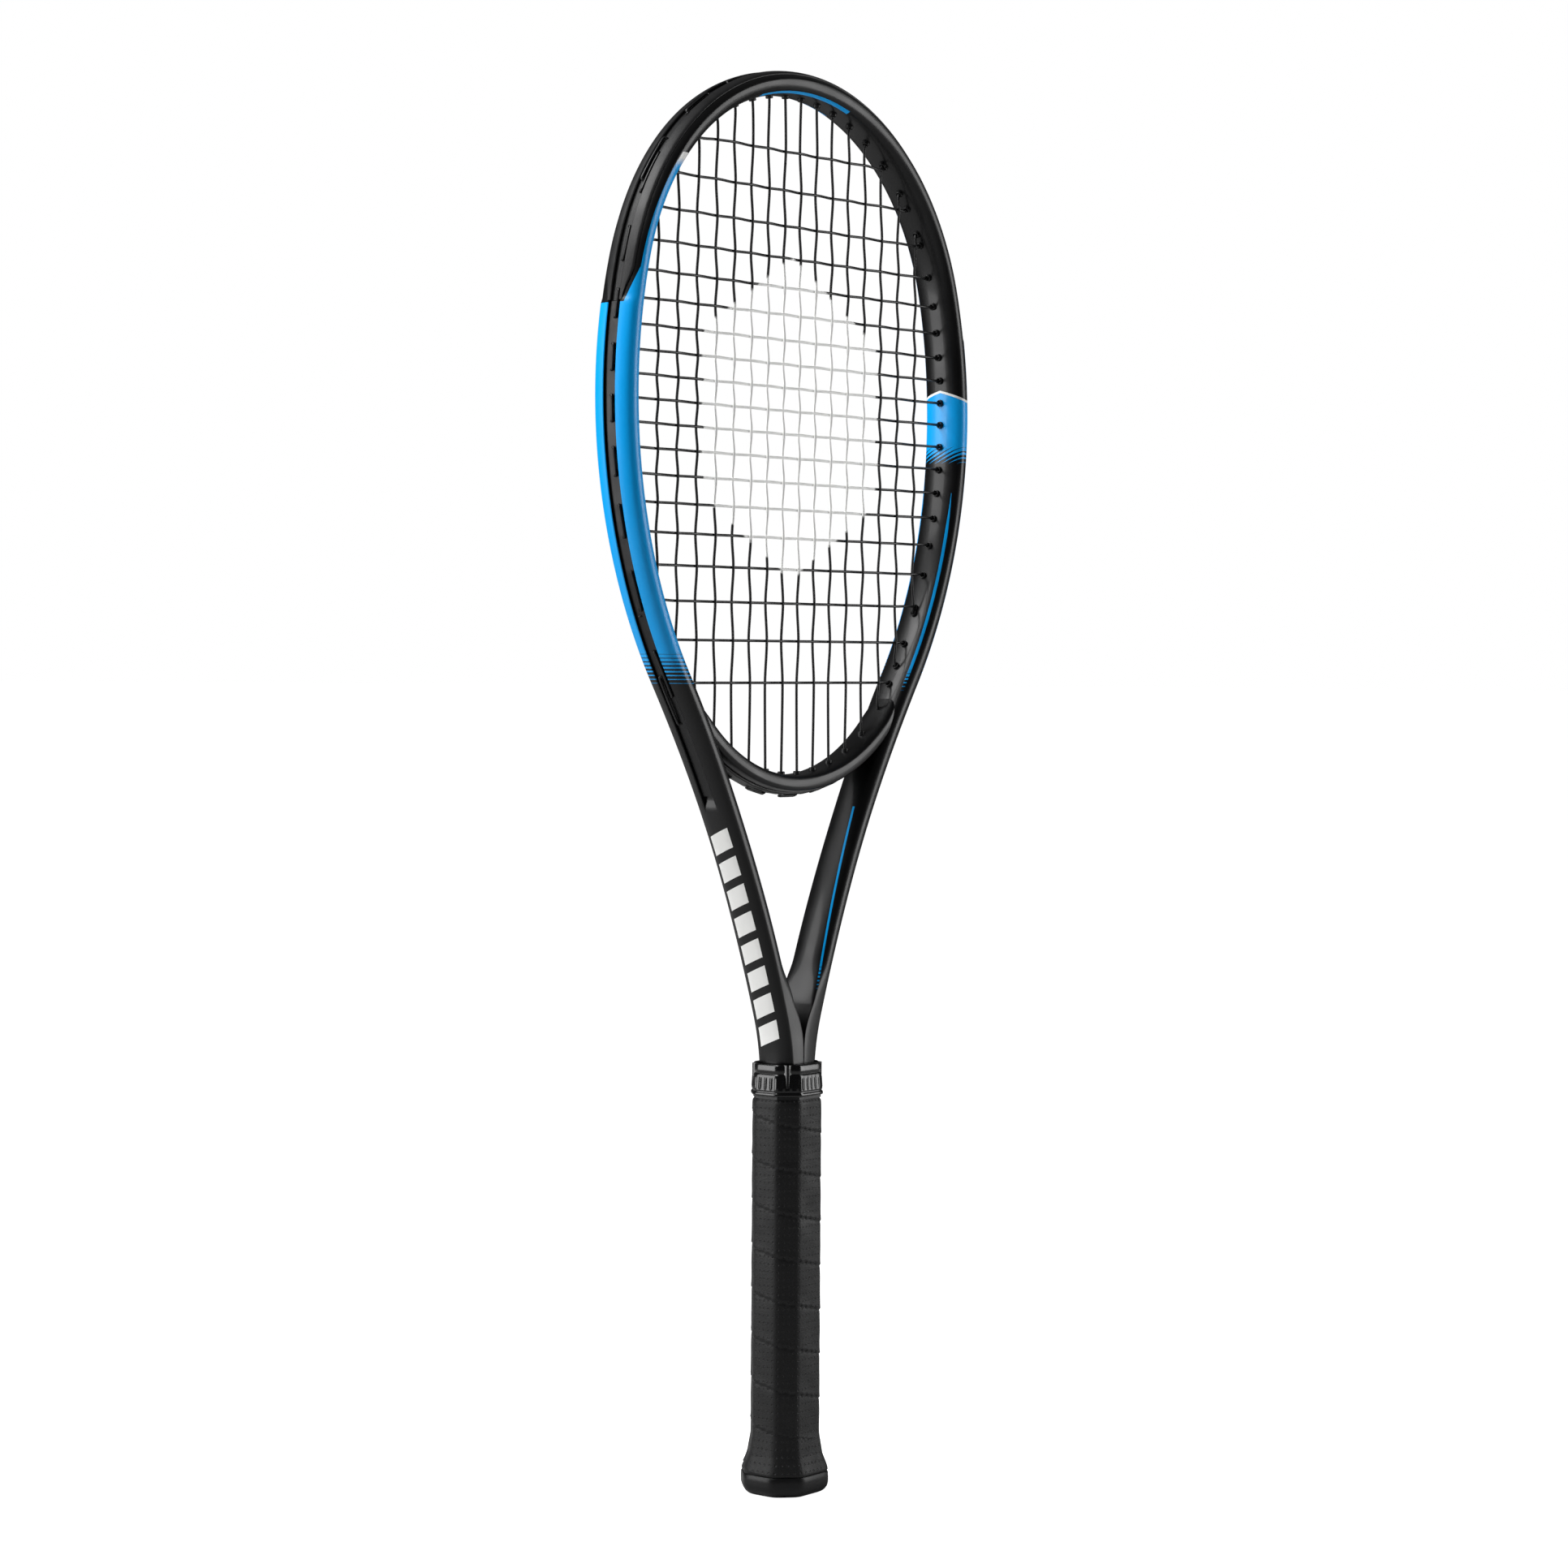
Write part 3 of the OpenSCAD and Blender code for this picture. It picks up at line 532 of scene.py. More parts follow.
def string_polymer(colours):
    """Extruded polyester string with ink rubbed on through a plain six-sided stencil."""
    material, add, shader = finish(
        "polyester_string_inked", Coat_Weight=0.1, Coat_Roughness=0.3, Specular_IOR_Level=0.3
    )
    x, _, z = millimetres(add)
    grain(add, shader, 0.8, 0.01, 0.38, 0.05)
    coords = add("TexCoord").node.outputs["Object"]
    ragged = add("TexNoise", Vector=coords, Scale=700.0, Detail=3.0)
    aside = add("ABSOLUTE", x)
    away = add("ABSOLUTE", add("SUBTRACT", z, 520.0))
    slope = add("MULTIPLY_ADD", aside, 0.577, away)
    edge = add("MAXIMUM", slope, add("MULTIPLY", aside, 1.155))
    edge = add("MULTIPLY_ADD", ragged, 3.0, edge)
    inked = add("MapRange", Value=edge, From_Min=80.0, From_Max=78.5, To_Min=0.0, To_Max=1.0)
    feed(shader, Base_Color=add("MixRGB", inked, opaque(colours.string), opaque(colours.ink)))
    return material


def grip_leatherette(colours):
    """Embossed polyurethane leatherette: matt, finely grained, punched with rows of small holes."""
    material, add, shader = finish(
        "leatherette_embossed", Sheen_Weight=0.04, Sheen_Roughness=0.4, Specular_IOR_Level=0.3
    )
    along, up, _ = route(add)
    coords = add("TexCoord").node.outputs["Object"]
    fine = add("TexVoronoi", Vector=coords, Scale=1400.0)
    # Holes 2.6 mm apart along the strip and 3.6 mm apart across it, drawn 0.9 mm wide to show
    a = add("SUBTRACT", add("FRACT", add("DIVIDE", along, 2.6)), 0.5)
    b = add("SUBTRACT", add("FRACT", add("DIVIDE", up, 3.58)), 0.5)
    a = add("MULTIPLY", a, 2.6)
    b = add("MULTIPLY", b, 3.58)
    span = add("SQRT", add("MULTIPLY_ADD", a, a, add("MULTIPLY", b, b)))
    hole = add("MapRange", Value=span, From_Min=0.25, From_Max=0.55, To_Min=-1.0, To_Max=0.0)
    height = add("MULTIPLY_ADD", fine, 0.35, hole)
    shade = mottle(add, 90.0, 5.0, 0.8, 1.25)
    # Painted shade in the holes: the colour darkens towards the middle of each hole, where the bump sinks
    shade = add("MULTIPLY", shade, add("MULTIPLY_ADD", hole, 0.4, 1.0))
    feed(
        shader,
        Normal=add("Bump", Height=height, Distance=0.0002, Strength=0.8),
        Base_Color=add("VectorMath/SCALE", tuple(colours.grip), Scale=shade),
        Roughness=mottle(add, 90.0, 5.0, 0.46, 0.6),
    )
    return material


def drawn_steel():
    """Drawn steel wire, bright, with fine lines along it."""
    material, add, shader = finish("steel_wire_drawn", Metallic=1.0, Base_Color=opaque(linear("B9BABD")))
    x, y, z = millimetres(add)
    drawn = add("CombineXYZ", add("MULTIPLY", x, 0.2), y, z)
    lines = add("TexNoise", Vector=drawn, Scale=14.0)
    rough = add("MapRange", Value=lines, From_Min=0.3, From_Max=0.7, To_Min=0.22, To_Max=0.4)
    feed(shader, Roughness=rough, Normal=add("Bump", Height=lines, Distance=0.00002))
    return material


def woven_tape():
    """Thin cloth tape: a plain weave of threads 0.5 mm apart."""
    material, add, shader = finish("cotton_tape_woven", Roughness=0.85)
    x, y, z = millimetres(add)
    warp = add("SINE", add("MULTIPLY", add("ADD", x, y), 4 * pi))
    weft = add("SINE", add("MULTIPLY", z, 4 * pi))
    weave = add("MULTIPLY", warp, weft)
    # Painted shade in the weave: the plain cloth colour darkens where the weave sinks
    shade = add("MapRange", Value=weave, From_Min=-1.0, From_Max=1.0, To_Min=0.7, To_Max=1.0)
    colour = add("VectorMath/SCALE", linear("D8D6CC"), Scale=shade)
    feed(shader, Base_Color=colour, Normal=add("Bump", Height=weave, Distance=0.00005))
    return material


# String holes and routes

class Hole:
    """A string hole: its mouth inside the head, its way out and the length of its barrel."""

    def __init__(self, mouth, out, length, s):
        self.mouth, self.out, self.length, self.s = mouth, out, length, s

    def point(self, reach, across=0.0):
        return self.mouth + self.out * reach + Vector((0, across, 0))


class Stringing:
    """Holes and routes of the two strings, on the +X half and mirrored for the other."""

    def __init__(self, sizes):
        self.line = line = Centreline(sizes)
        self.d = sizes.string_d
        self.rise = STRIP_T + STRING_LIFT + self.d / 2
        self.floor = line.half - sizes.groove_depth
        inset = line.half + BARREL_PROUD
        self.mains = [6.1 + 12.1 * i + 0.175 * i * i for i in range(8)]
        rows = [j - 8.64 for j in range(19)]
        self.crosses = [sizes.length - 158.1 - 11.05 * t - 0.0382 * t**3 for t in rows]

        def mouth(s):
            point, normal = line.at(s)
            return point - normal * inset

        def hole(s):
            point, normal = line.at(s)
            return Hole(point - normal * inset, normal, inset + self.floor, s)

        widest = line.ends[0] + (line.ends[1] - line.ends[0]) * 0.32
        end = line.ends[2]
        self.bridge_c = Vector((0, 0, sizes.length - sizes.tube_depth - STRUNG_H + BRIDGE_R))
        self.bridge_out = BRIDGE_R + BRIDGE_T
        self.top = [hole(line.find(0, widest, lambda s: -mouth(s).x, -x)) for x in self.mains]
        self.sides = [hole(line.find(0, end, lambda s: mouth(s).z, z)) for z in self.crosses]
        self.bottom = []
        for x in self.mains:
            if x < BRIDGE_MAINS:
                inner = self.bridge_c.z - sqrt(BRIDGE_R**2 - x * x) + BARREL_PROUD
                outer = self.bridge_c.z - sqrt(self.bridge_out**2 - x * x)
                self.bottom.append(Hole(Vector((x, 0, inner)), Vector((0, 0, -1)), inner - outer, None))
            else:
                self.bottom.append(hole(line.find(widest, end, lambda s: mouth(s).x, x)))
        self.bumper_end = line.ends[0] + radians(5.6) * sizes.head_side_r
        self.tail = line.ends[1] + radians(5.4) * sizes.arm_r

    def way_in(self, hole, side, across):
        points = [hole.point(hole.length + self.rise, across), hole.point(hole.length + 0.9), hole.point(0)]
        return [Vector((side * p.x, p.y, p.z)) for p in points]

    def lifted(self, a, b, centre, radius):
        """Points of a loop between a and b, on the circle about a centre."""
        points = []
        for t in (0.25, 0.5, 0.75):
            p = a.lerp(b, t)
            away = Vector((p.x - centre.x, 0, p.z - centre.z)).normalized() * radius
            points.append(Vector((centre.x + away.x, p.y, centre.z + away.z)))
        return points

    def main_route(self):
        amplitude = self.d * MAIN_SHARE
        lie = self.d + WEAVE_GAP
        points = []
        for m in range(-8, 8):
            side, i = (-1, -m - 1) if m < 0 else (1, m)
            low, high = self.bottom[i], self.top[i]
            run = self.way_in(low, side, lie)
            for j in range(18, -1, -1):
                z = self.crosses[j]
                if low.mouth.z + 2 < z < high.mouth.z - 2:
                    run.append(Vector((side * self.mains[i], amplitude * (-1) ** (j + m), z)))
            run += reversed(self.way_in(high, side, lie))
            if m % 2:
                run.reverse()
            if points:
                a, b = points[-1], run[0]
                if m % 2:
                    points += self.lifted(a, b, self.line.top, self.line.arcs[0][1] + self.floor + self.rise)
                elif max(abs(a.x), abs(b.x)) < BRIDGE_MAINS:
                    points += self.lifted(a, b, self.bridge_c, self.bridge_out + self.rise)
            points += run
        return points

    def cross_route(self):
        amplitude = self.d * (1 - MAIN_SHARE)
        lie = -self.d - WEAVE_GAP
        head = self.line.at(self.line.ends[0])[0].z
        points = []
        for j in range(19):
            hole = self.sides[j]
            run = self.way_in(hole, -1, lie)
            for m in range(-8, 8):
                side, i = (-1, -m - 1) if m < 0 else (1, m)
                if self.mains[i] < hole.mouth.x - 2:
                    weave = -amplitude * (-1) ** (j + m)
                    run.append(Vector((side * self.mains[i], weave, self.crosses[j])))
            run += reversed(self.way_in(hole, 1, lie))
            if j % 2:
                run.reverse()
            if points and min(points[-1].z, run[0].z) > head:
                centre = self.line.top
                points += self.lifted(points[-1], run[0], centre, self.line.arcs[0][1] + self.floor + self.rise)
            points += run
        return points


def smoothed(points, step):
    """A curve through points, eased at each by the mean direction of its neighbours."""
    ways = []
    for i in range(len(points)):
        before = points[i] - points[max(i - 1, 0)]
        after = points[min(i + 1, len(points) - 1)] - points[i]
        short = min(before.length or after.length, after.length or before.length)
        ways.append((before.normalized() + after.normalized()).normalized() * short)
    path = []
    for a, b, u, v in zip(points, points[1:], ways, ways[1:]):
        length = (b - a).length
        steps = max(2, round(length / step))
        for n in range(steps):
            t = n / steps
            path.append(
                a * (2 * t**3 - 3 * t**2 + 1)
                + u * (t**3 - 2 * t**2 + t)
                + b * (3 * t**2 - 2 * t**3)
                + v * (t**3 - t**2)
            )
    return path + [points[-1]]


def string_piece(name, points, diameter):
    """Round string along a route, eight-sided."""
    path = smoothed(points, 2.1)
    stations = []
    s = 0.0
    for i, p in enumerate(path):
        way = (path[min(i + 1, len(path) - 1)] - path[max(i - 1, 0)]).normalized()
        up = (Vector((0, 1, 0)) - way * way.y).normalized()
        stations.append((p, up, way.cross(up), s))
        if i + 1 < len(path):
            s += (path[i + 1] - p).length

    def point(station, k):
        p, up, aside, s = station
        angle = 2 * pi * k / 8
        return p + (up * cos(angle) + aside * sin(angle)) * diameter / 2, s, diameter * k / 8

    return loft(name, stations, 8, point)


# A grommet barrel, as (radius, depth from the hole's mouth): its wall, rounded rim and bore
BARREL = [(1.8, 4), (1.8, 0.35), (1.68, 0.1), (1.45, 0), (1.3, 0.05), (1.15, 0.3), (1.1, 3.2)]


def add_barrels(piece, holes, sides=(-1, 1)):
    """Spin a grommet barrel into a piece's mesh at each hole, on these sides of the head."""
    bm = bmesh.new()
    bm.from_mesh(piece.data)
    count = len(bm.faces)
    for hole in holes:
        for side in sides:
            out = Vector((side * hole.out.x, 0, hole.out.z))
            mouth = Vector((side * hole.mouth.x, 0, hole.mouth.z))
            verts = [bm.verts.new((mouth + out * depth + Vector((0, r, 0))) * MM) for r, depth in BARREL]
            edges = [bm.edges.new(pair) for pair in zip(verts, verts[1:])]
            bmesh.ops.spin(
                bm, geom=verts + edges, cent=mouth * MM, axis=out, angle=2 * pi, steps=16, use_merge=True
            )
    bm.faces.ensure_lookup_table()
    new = bm.faces[count:]
    bmesh.ops.recalc_face_normals(bm, faces=new)
    for face in new:
        face.smooth = True
    bm.to_mesh(piece.data)
    bm.free()


# Rings round the handle

def planes_radius(angle, planes, power):
    """Distance from the axis to a rounded polygon, given as (angle, distance) of its sides."""
    total = sum(max(0.0, cos(angle - turn) / distance) ** power for turn, distance in planes)
    return total ** (-1 / power)


def octagon(grow):
    """Sides of the handle's octagon, grown from the bare handle by an offset."""
    w, t, b = (half + grow for half in HANDLE_HALF)
    b += (1 - sqrt(2)) * grow
    slant = (w + t - b) / sqrt(2)
    return [(i * pi / 4, (w, slant, t, slant)[i % 4]) for i in range(8)]


def oblong(w, t):
    """Sides of a rectangle this wide and deep."""
    return [(i * pi / 2, (w, t)[i % 2] / 2) for i in range(4)]


def handle_loft(name, stations, count, closed=False, power=40):
    """Loft rings given as (sides, height), or with a function of angle and height to add."""

    def point(station, k):
        sides, z, *added = station
        angle = 2 * pi * (k + 0.5) / count
        radius = planes_radius(angle, sides, power)
        for proud in added:
            radius += proud(angle, z)
        return (radius * cos(angle), radius * sin(angle), z), angle * 17, z

    return loft(name, stations, count, point, closed)


def steps_between(low, high, count):
    return [low + (high - low) * i / count for i in range(count + 1)]


# Operators

class RACKET_OT_frame(bpy.types.Operator):
    """Loft the outer skin of the hollow hairpin tube, with its groove, arms and shaft"""

    bl_idname = "racket.frame"
    bl_label = "Frame tube"

    def execute(self, context):
        sizes = context.scene.racket_sizes
        line = Centreline(sizes)
        stringing = Stringing(sizes)
        leg = line.leg_top.z - 10
        end = line.ends[-1] + leg
        count = len(tube_ring(line.half, 21.0, 1.0, SQUARENESS))
        rings = {}

        def section(s):
            if s not in rings:
                z = line.at(s)[0].z
                reach = abs(s)
                cover = 1 - ease(reach, stringing.bumper_end - 1.2, stringing.bumper_end)
                groove = sizes.groove_depth * (1 - ease(reach, stringing.tail - 1, stringing.tail + 7))
                square = 2.6 + 60 * ease(-z, -262, -214) ** 2
                ring = tube_ring(line.half, between(z, BEAM), groove, square)
                rings[s] = [
                    (r - SUNK * cover * ease(r, 1.0, 3.5) if abs(y) > GROOVE_HALF - 0.05 else r, y)
                    for r, y in ring
                ]
            return rings[s]

        def point(s, k):
            centre, normal = line.at(s)
            r, y = section(s)[k]
            if r < 0:
                r *= 1 + (abs(centre.x) / line.half - 1) * ease(-centre.z, -238, -214)
            place = centre + normal * r
            side = 1 if s >= 0 else -1
            if centre.z < 260 and side * place.x < 0:
                place.x = 0
            return (place.x, y, place.z), s, r

        stations = []
        s = -end
        while s < end:
            stations.append(s)
            depth = line.at(s)[0].z
            s += 6.0 if depth < 190 else 1.6 if abs(s) > 40 else 2.0
        stations.append(end)
        piece = loft("racket_frame", stations, count, point)
        material = lacquered_carbon(context.scene.racket_colours)
        place_piece(piece, material, "racket", "frame_tube", 38)
        return {"FINISHED"}


class RACKET_OT_bridge(bpy.types.Operator):
    """Loft the throat bridge, which thins where it dies into the arms"""

    bl_idname = "racket.bridge"
    bl_label = "Throat bridge"

    def execute(self, context):
        stringing = Stringing(context.scene.racket_sizes)
        centre = stringing.bridge_c

        def point(angle, k):
            turn = 2 * pi * k / 40
            fade = ease(abs(angle), radians(44), radians(60))
            depth, beam = BRIDGE_T / 2 - 0.5 * fade, 9.0 - 3.6 * fade
            c, s = cos(turn), sin(turn)
            r = depth * abs(c) ** (2 / 3.4) * (1 if c >= 0 else -1)
            y = beam * abs(s) ** (2 / 3.4) * (1 if s >= 0 else -1)
            reach = BRIDGE_R + BRIDGE_T / 2 + r
            return centre + reach * direction(angle - pi / 2) + Vector((0, y, 0)), degrees(angle) * 1.76, r

        piece = loft("throat_bridge_shell", [radians(a) for a in steps_between(-60, 60, 120)], 40, point)
        material = moulded("lacquered_bridge_sprayed", "080809", 0.32, 1.6, 0.02, **LACQUER)
        place_piece(piece, material, "racket", "throat_bridge", 45)
        return {"FINISHED"}


class RACKET_OT_bumper(bpy.types.Operator):
    """Loft the bumper guard's wings and channel over the crown, with its barrels"""

    bl_idname = "racket.bumper"
    bl_label = "Bumper guard"

    def execute(self, context):
        sizes = context.scene.racket_sizes
        line = Centreline(sizes)
        stringing = Stringing(sizes)
        end = stringing.bumper_end
        count = len(bumper_ring(line.half, 21.0, 8.2))
        rings = {}

        def point(s, k):
            centre, normal = line.at(s)
            if s not in rings:
                reach = 8.2 - 3.8 * ease(abs(s), end - 16, end)
                rings[s] = bumper_ring(line.half, between(centre.z, BEAM), reach)
            r, y = rings[s][k]
            place = centre + normal * r
            return (place.x, y, place.z), s, r

        piece = loft("bumper_guard_moulding", steps_between(-end, end, 320), count, point)
        holes = stringing.top + [h for h in stringing.sides if h.s < end]
        add_barrels(piece, holes)
        material = moulded("nylon_bumper_moulded", "161617", 0.42, 0.5, 0.05)
        place_piece(piece, material, "racket", "bumper_guard", 40)
        return {"FINISHED"}


class RACKET_OT_strips(bpy.types.Operator):
    """Loft the three grommet strips, lumpy at each hole, with their barrels"""

    bl_idname = "racket.strips"
    bl_label = "Grommet strips"

    def execute(self, context):
        stringing = Stringing(context.scene.racket_sizes)
        line = stringing.line
        material = moulded("nylon_strip_moulded", "131314", 0.4, 0.5, 0.04)
        holes = [h for h in stringing.sides if h.s >= stringing.bumper_end]
        holes += [h for h in stringing.bottom if h.s]
        section = [(0, 3.35), (0, 1.2), (0, -1.2), (0, -3.35), (0.7, -3.35)]
        section += [(1, -3.1), (1, -1.3), (1, 0), (1, 1.3), (1, 3.1), (0.7, 3.35)]

        for side, name in ((-1, "left"), (1, "right")):

            def point(s, k):
                centre, normal = line.at(side * s)
                r, y = section[k]
                lump = max((exp(-(((s - h.s) / 2.4) ** 2)) for h in holes), default=0)
                if r == 1 and abs(y) < 2:
                    r += 0.2 * lump
                place = centre + normal * (stringing.floor + 0.02 + r)
                return (place.x, y, place.z), s, r

            stations = steps_between(stringing.bumper_end + 0.3, stringing.tail - 1, 200)
            piece = loft(f"grommet_strip_{name}_moulding", stations, len(section), point)
            add_barrels(piece, holes, (side,))
            place_piece(piece, material, "racket", f"grommet_strip_{name}", 40)

        centre = stringing.bridge_c
        under = [h for h in stringing.bottom if h.s is None]
        reach = degrees(asin(under[-1].mouth.x / stringing.bridge_out)) + 2.2

        def throat_point(angle, k):
            r, y = section[k]
            x = stringing.bridge_out * sin(angle)
            lump = max(exp(-(((abs(x) - h.mouth.x) / 2.6) ** 2)) for h in under)
            if r == 1:
                r += 0.2 * lump
            place = centre + (stringing.bridge_out + 0.02 + r) * direction(angle - pi / 2)
            return (place.x, y, place.z), degrees(angle) * 1.83, r

        stations = [radians(a) for a in steps_between(-reach, reach, 120)]
        piece = loft("grommet_strip_throat_moulding", stations, len(section), throat_point)
        add_barrels(piece, under)
        place_piece(piece, material, "racket", "grommet_strip_throat", 40)
        return {"FINISHED"}


class RACKET_OT_strings(bpy.types.Operator):
    """Weave the main string and the cross string along their routes"""

    bl_idname = "racket.strings"
    bl_label = "Strings"

    def execute(self, context):
        stringing = Stringing(context.scene.racket_sizes)
        material = string_polymer(context.scene.racket_colours)
        for name, points in (("main", stringing.main_route()), ("cross", stringing.cross_route())):
            piece = string_piece(f"{name}_string_woven", points, stringing.d)
            place_piece(piece, material, "racket", f"{name}_string")
        return {"FINISHED"}


class RACKET_OT_grip(bpy.types.Operator):
    """Build the spiral-wrapped leatherette grip, lapped at each turn and flared at the butt"""

    bl_idname = "racket.grip"
    bl_label = "Grip"

    def execute(self, context):
        pitch = context.scene.racket_sizes.wrap_pitch
        low, high = 10.3, 197.5

        def wrap(angle, z):
            turn = (z / pitch + angle / (2 * pi)) % 1
            up, down = turn * pitch, (1 - turn) * pitch
            lap = 0.4 * exp(-up / 2.6) - 0.35 * exp(-((down / 1.0) ** 2)) + 0.18 * sin(pi * turn)
            soft = 0.07 * sin(5 * angle + z * 0.31) * sin(z * 0.17 + 1.3)
            return (lap + soft) * ease(z, low, low + 1.5) * (1 - ease(z, 189, 192))

        def offset(z):
            flare = 1.45 + 4.4 * (1 - ease(z, 3.0, 31.0)) ** 1.15
            end = 0.7 * ease(z, 190.8, 192)
            edge = 0.5 * (1 - min(1.0, (z - low) / 0.8)) ** 2 + 0.3 * max(0.0, (z - 196.9) / 0.6) ** 2
            return min(6.1, flare + 0.9 * exp(-(((z - 11.5) / 5.5) ** 2))) - end - edge

        outer = [(octagon(offset(z)), z, wrap) for z in steps_between(low, high, 234)]
        inner = [(octagon(0.35), z) for z in (high, 38.1)]
        inner += [(octagon(1.2), 37.9), (octagon(1.1), 31.5)]
        inner += [(octagon(4.2), 13.2), (octagon(4.7), low)]
        piece = handle_loft("grip_wrap_leatherette", outer + inner, 144, closed=True, power=24)
        material = grip_leatherette(context.scene.racket_colours)
        place_piece(piece, material, "racket", "grip_wrap", 60)
        return {"FINISHED"}


class RACKET_OT_butt(bpy.types.Operator):
    """Build the butt cap with its rounded rim, and the door that snaps into it"""

    bl_idname = "racket.butt"
    bl_label = "Butt cap and door"

    def execute(self, context):
        rings = [(oblong(19.9, 14.9), 1.65), (oblong(23.9, 18.9), 1.65)]
        rings += [(oblong(23.9, 18.9), 0.4), (oblong(24.5, 19.5), 0.05)]
        for i in range(11):
            turn = pi / 2 * i / 10
            rings.append((octagon(1.0 + 5.1 * sin(turn)), 5.6 * (1 - cos(turn))))
        rings += [(octagon(6.1), 7.5), (octagon(6.0), 9.5), (octagon(5.6), 10.15)]
        rings += [(octagon(4.5), 10.25), (octagon(4.4), 12.5), (octagon(0.6), 31)]
        rings += [(octagon(0.6), 37.6), (octagon(0.35), 38), (octagon(0.02), 38)]
        rings += [(octagon(0.02), 4.02), (oblong(19.9, 14.9), 4.02)]
        cap = handle_loft("butt_cap_moulding", rings, 144, closed=True, power=22)
        material = moulded("nylon_cap_moulded", "0A0A0B", 0.4, 0.6, 0.03)
        place_piece(cap, material, "racket", "butt_cap", 42)

        door = [(oblong(5, 2.6), 0.85), (oblong(6, 3.4), 0.85), (oblong(6.4, 3.8), 0.5)]
        for w in (11, 15):
            door += [(oblong(w, w * 0.7), 0.5), (oblong(w + 0.5, w * 0.7 + 0.5), 0.3)]
            door += [(oblong(w + 1.3, w * 0.7 + 1.3), 0.3), (oblong(w + 1.8, w * 0.7 + 1.8), 0.5)]
        door += [(oblong(23.1, 18.1), 0.5), (oblong(23.6, 18.6), 0.7)]
        door += [(oblong(23.6, 18.6), 1.5), (oblong(19.6, 14.6), 1.5)]
        door += [(oblong(19.4, 14.4), 8.0), (oblong(17.2, 12.2), 8.0)]
        door += [(oblong(17.2, 12.2), 1.6)]
        plate = handle_loft("butt_cap_door_moulding", door, 96, power=18)
        material = moulded("nylon_door_moulded", "1A1A1B", 0.5, 0.6, 0.04)
        place_piece(plate, material, "door", "butt_cap_door", 35)
        return {"FINISHED"}


class RACKET_OT_collar(bpy.types.Operator):
    """Build the stretchy rubber collar with its lip, ribbed band and upper ring"""

    bl_idname = "racket.collar"
    bl_label = "Grip collar"

    def execute(self, context):
        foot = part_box("grip_collar")[0].z / MM
        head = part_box("grip_collar")[1].z / MM

        def ribs(angle, z):
            fade = ease(z, foot + 3.2, foot + 3.9) * (1 - ease(z, foot + 8.6, foot + 9.3))
            return 0.2 * max(0.0, cos(32 * angle)) * fade

        profile = [(1.5, 0), (2.0, 0.08), (2.25, 0.4), (2.3, 0.9), (2.22, 1.5)]
        profile += [(1.75, 1.9), (1.7, 2.4), (1.95, 2.8)]
        outer = [(octagon(g), foot + h, ribs) for g, h in profile]
        outer += [(octagon(1.95 - 0.035 * h), foot + 3.0 + h * 0.5, ribs) for h in range(14)]
        ring = [(1.4, foot + 10.4), (0.75, foot + 10.9), (0.75, foot + 11.3), (1.1, foot + 11.7)]
        ring += [(1.15, foot + 12.6), (1.1, head - 0.9), (0.85, head - 0.3), (0.4, head)]
        outer += [(octagon(g), z) for g, z in ring]
        inner = [(oblong(26.9, 22.6), head - 0.2), (oblong(26.9, 22.6), 198.0)]
        inner += [(octagon(1.35), 197.9), (octagon(1.35), foot + 0.2)]
        piece = handle_loft("grip_collar_rubber", outer + inner, 448, closed=True, power=32)
        wet = {"Coat_Weight": 0.3, "Coat_Roughness": 0.12}
        material = moulded("rubber_collar_moulded", "060607", 0.22, 1.2, 0.02, **wet)
        place_piece(piece, material, "collar", "grip_collar", 50)
        return {"FINISHED"}


class RACKET_OT_hidden(bpy.types.Operator):
    """Finish the CAD pieces that lie inside or under the others"""

    bl_idname = "racket.hidden"
    bl_label = "Inner pieces"

    def execute(self, context):
        finishes = {
            "bridge_foam_core": moulded("polyurethane_foam_expanded", "D9CFA6", 0.9, 0.8, 0.2),
            "handle_pallet": moulded("polyurethane_pallet_foamed", "C8B98C", 0.75, 0.7, 0.1),
            "cap_staples": drawn_steel(),
            "grip_backing_tape": woven_tape(),
            "finishing_tape": moulded("vinyl_tape_calendered", "1D1D1E", 0.35, 1.5, 0.01),
        }
        for node, material in finishes.items():
            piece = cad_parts[node]
            piece.data.materials.clear()
            piece.data.materials.append(material)
        return {"FINISHED"}


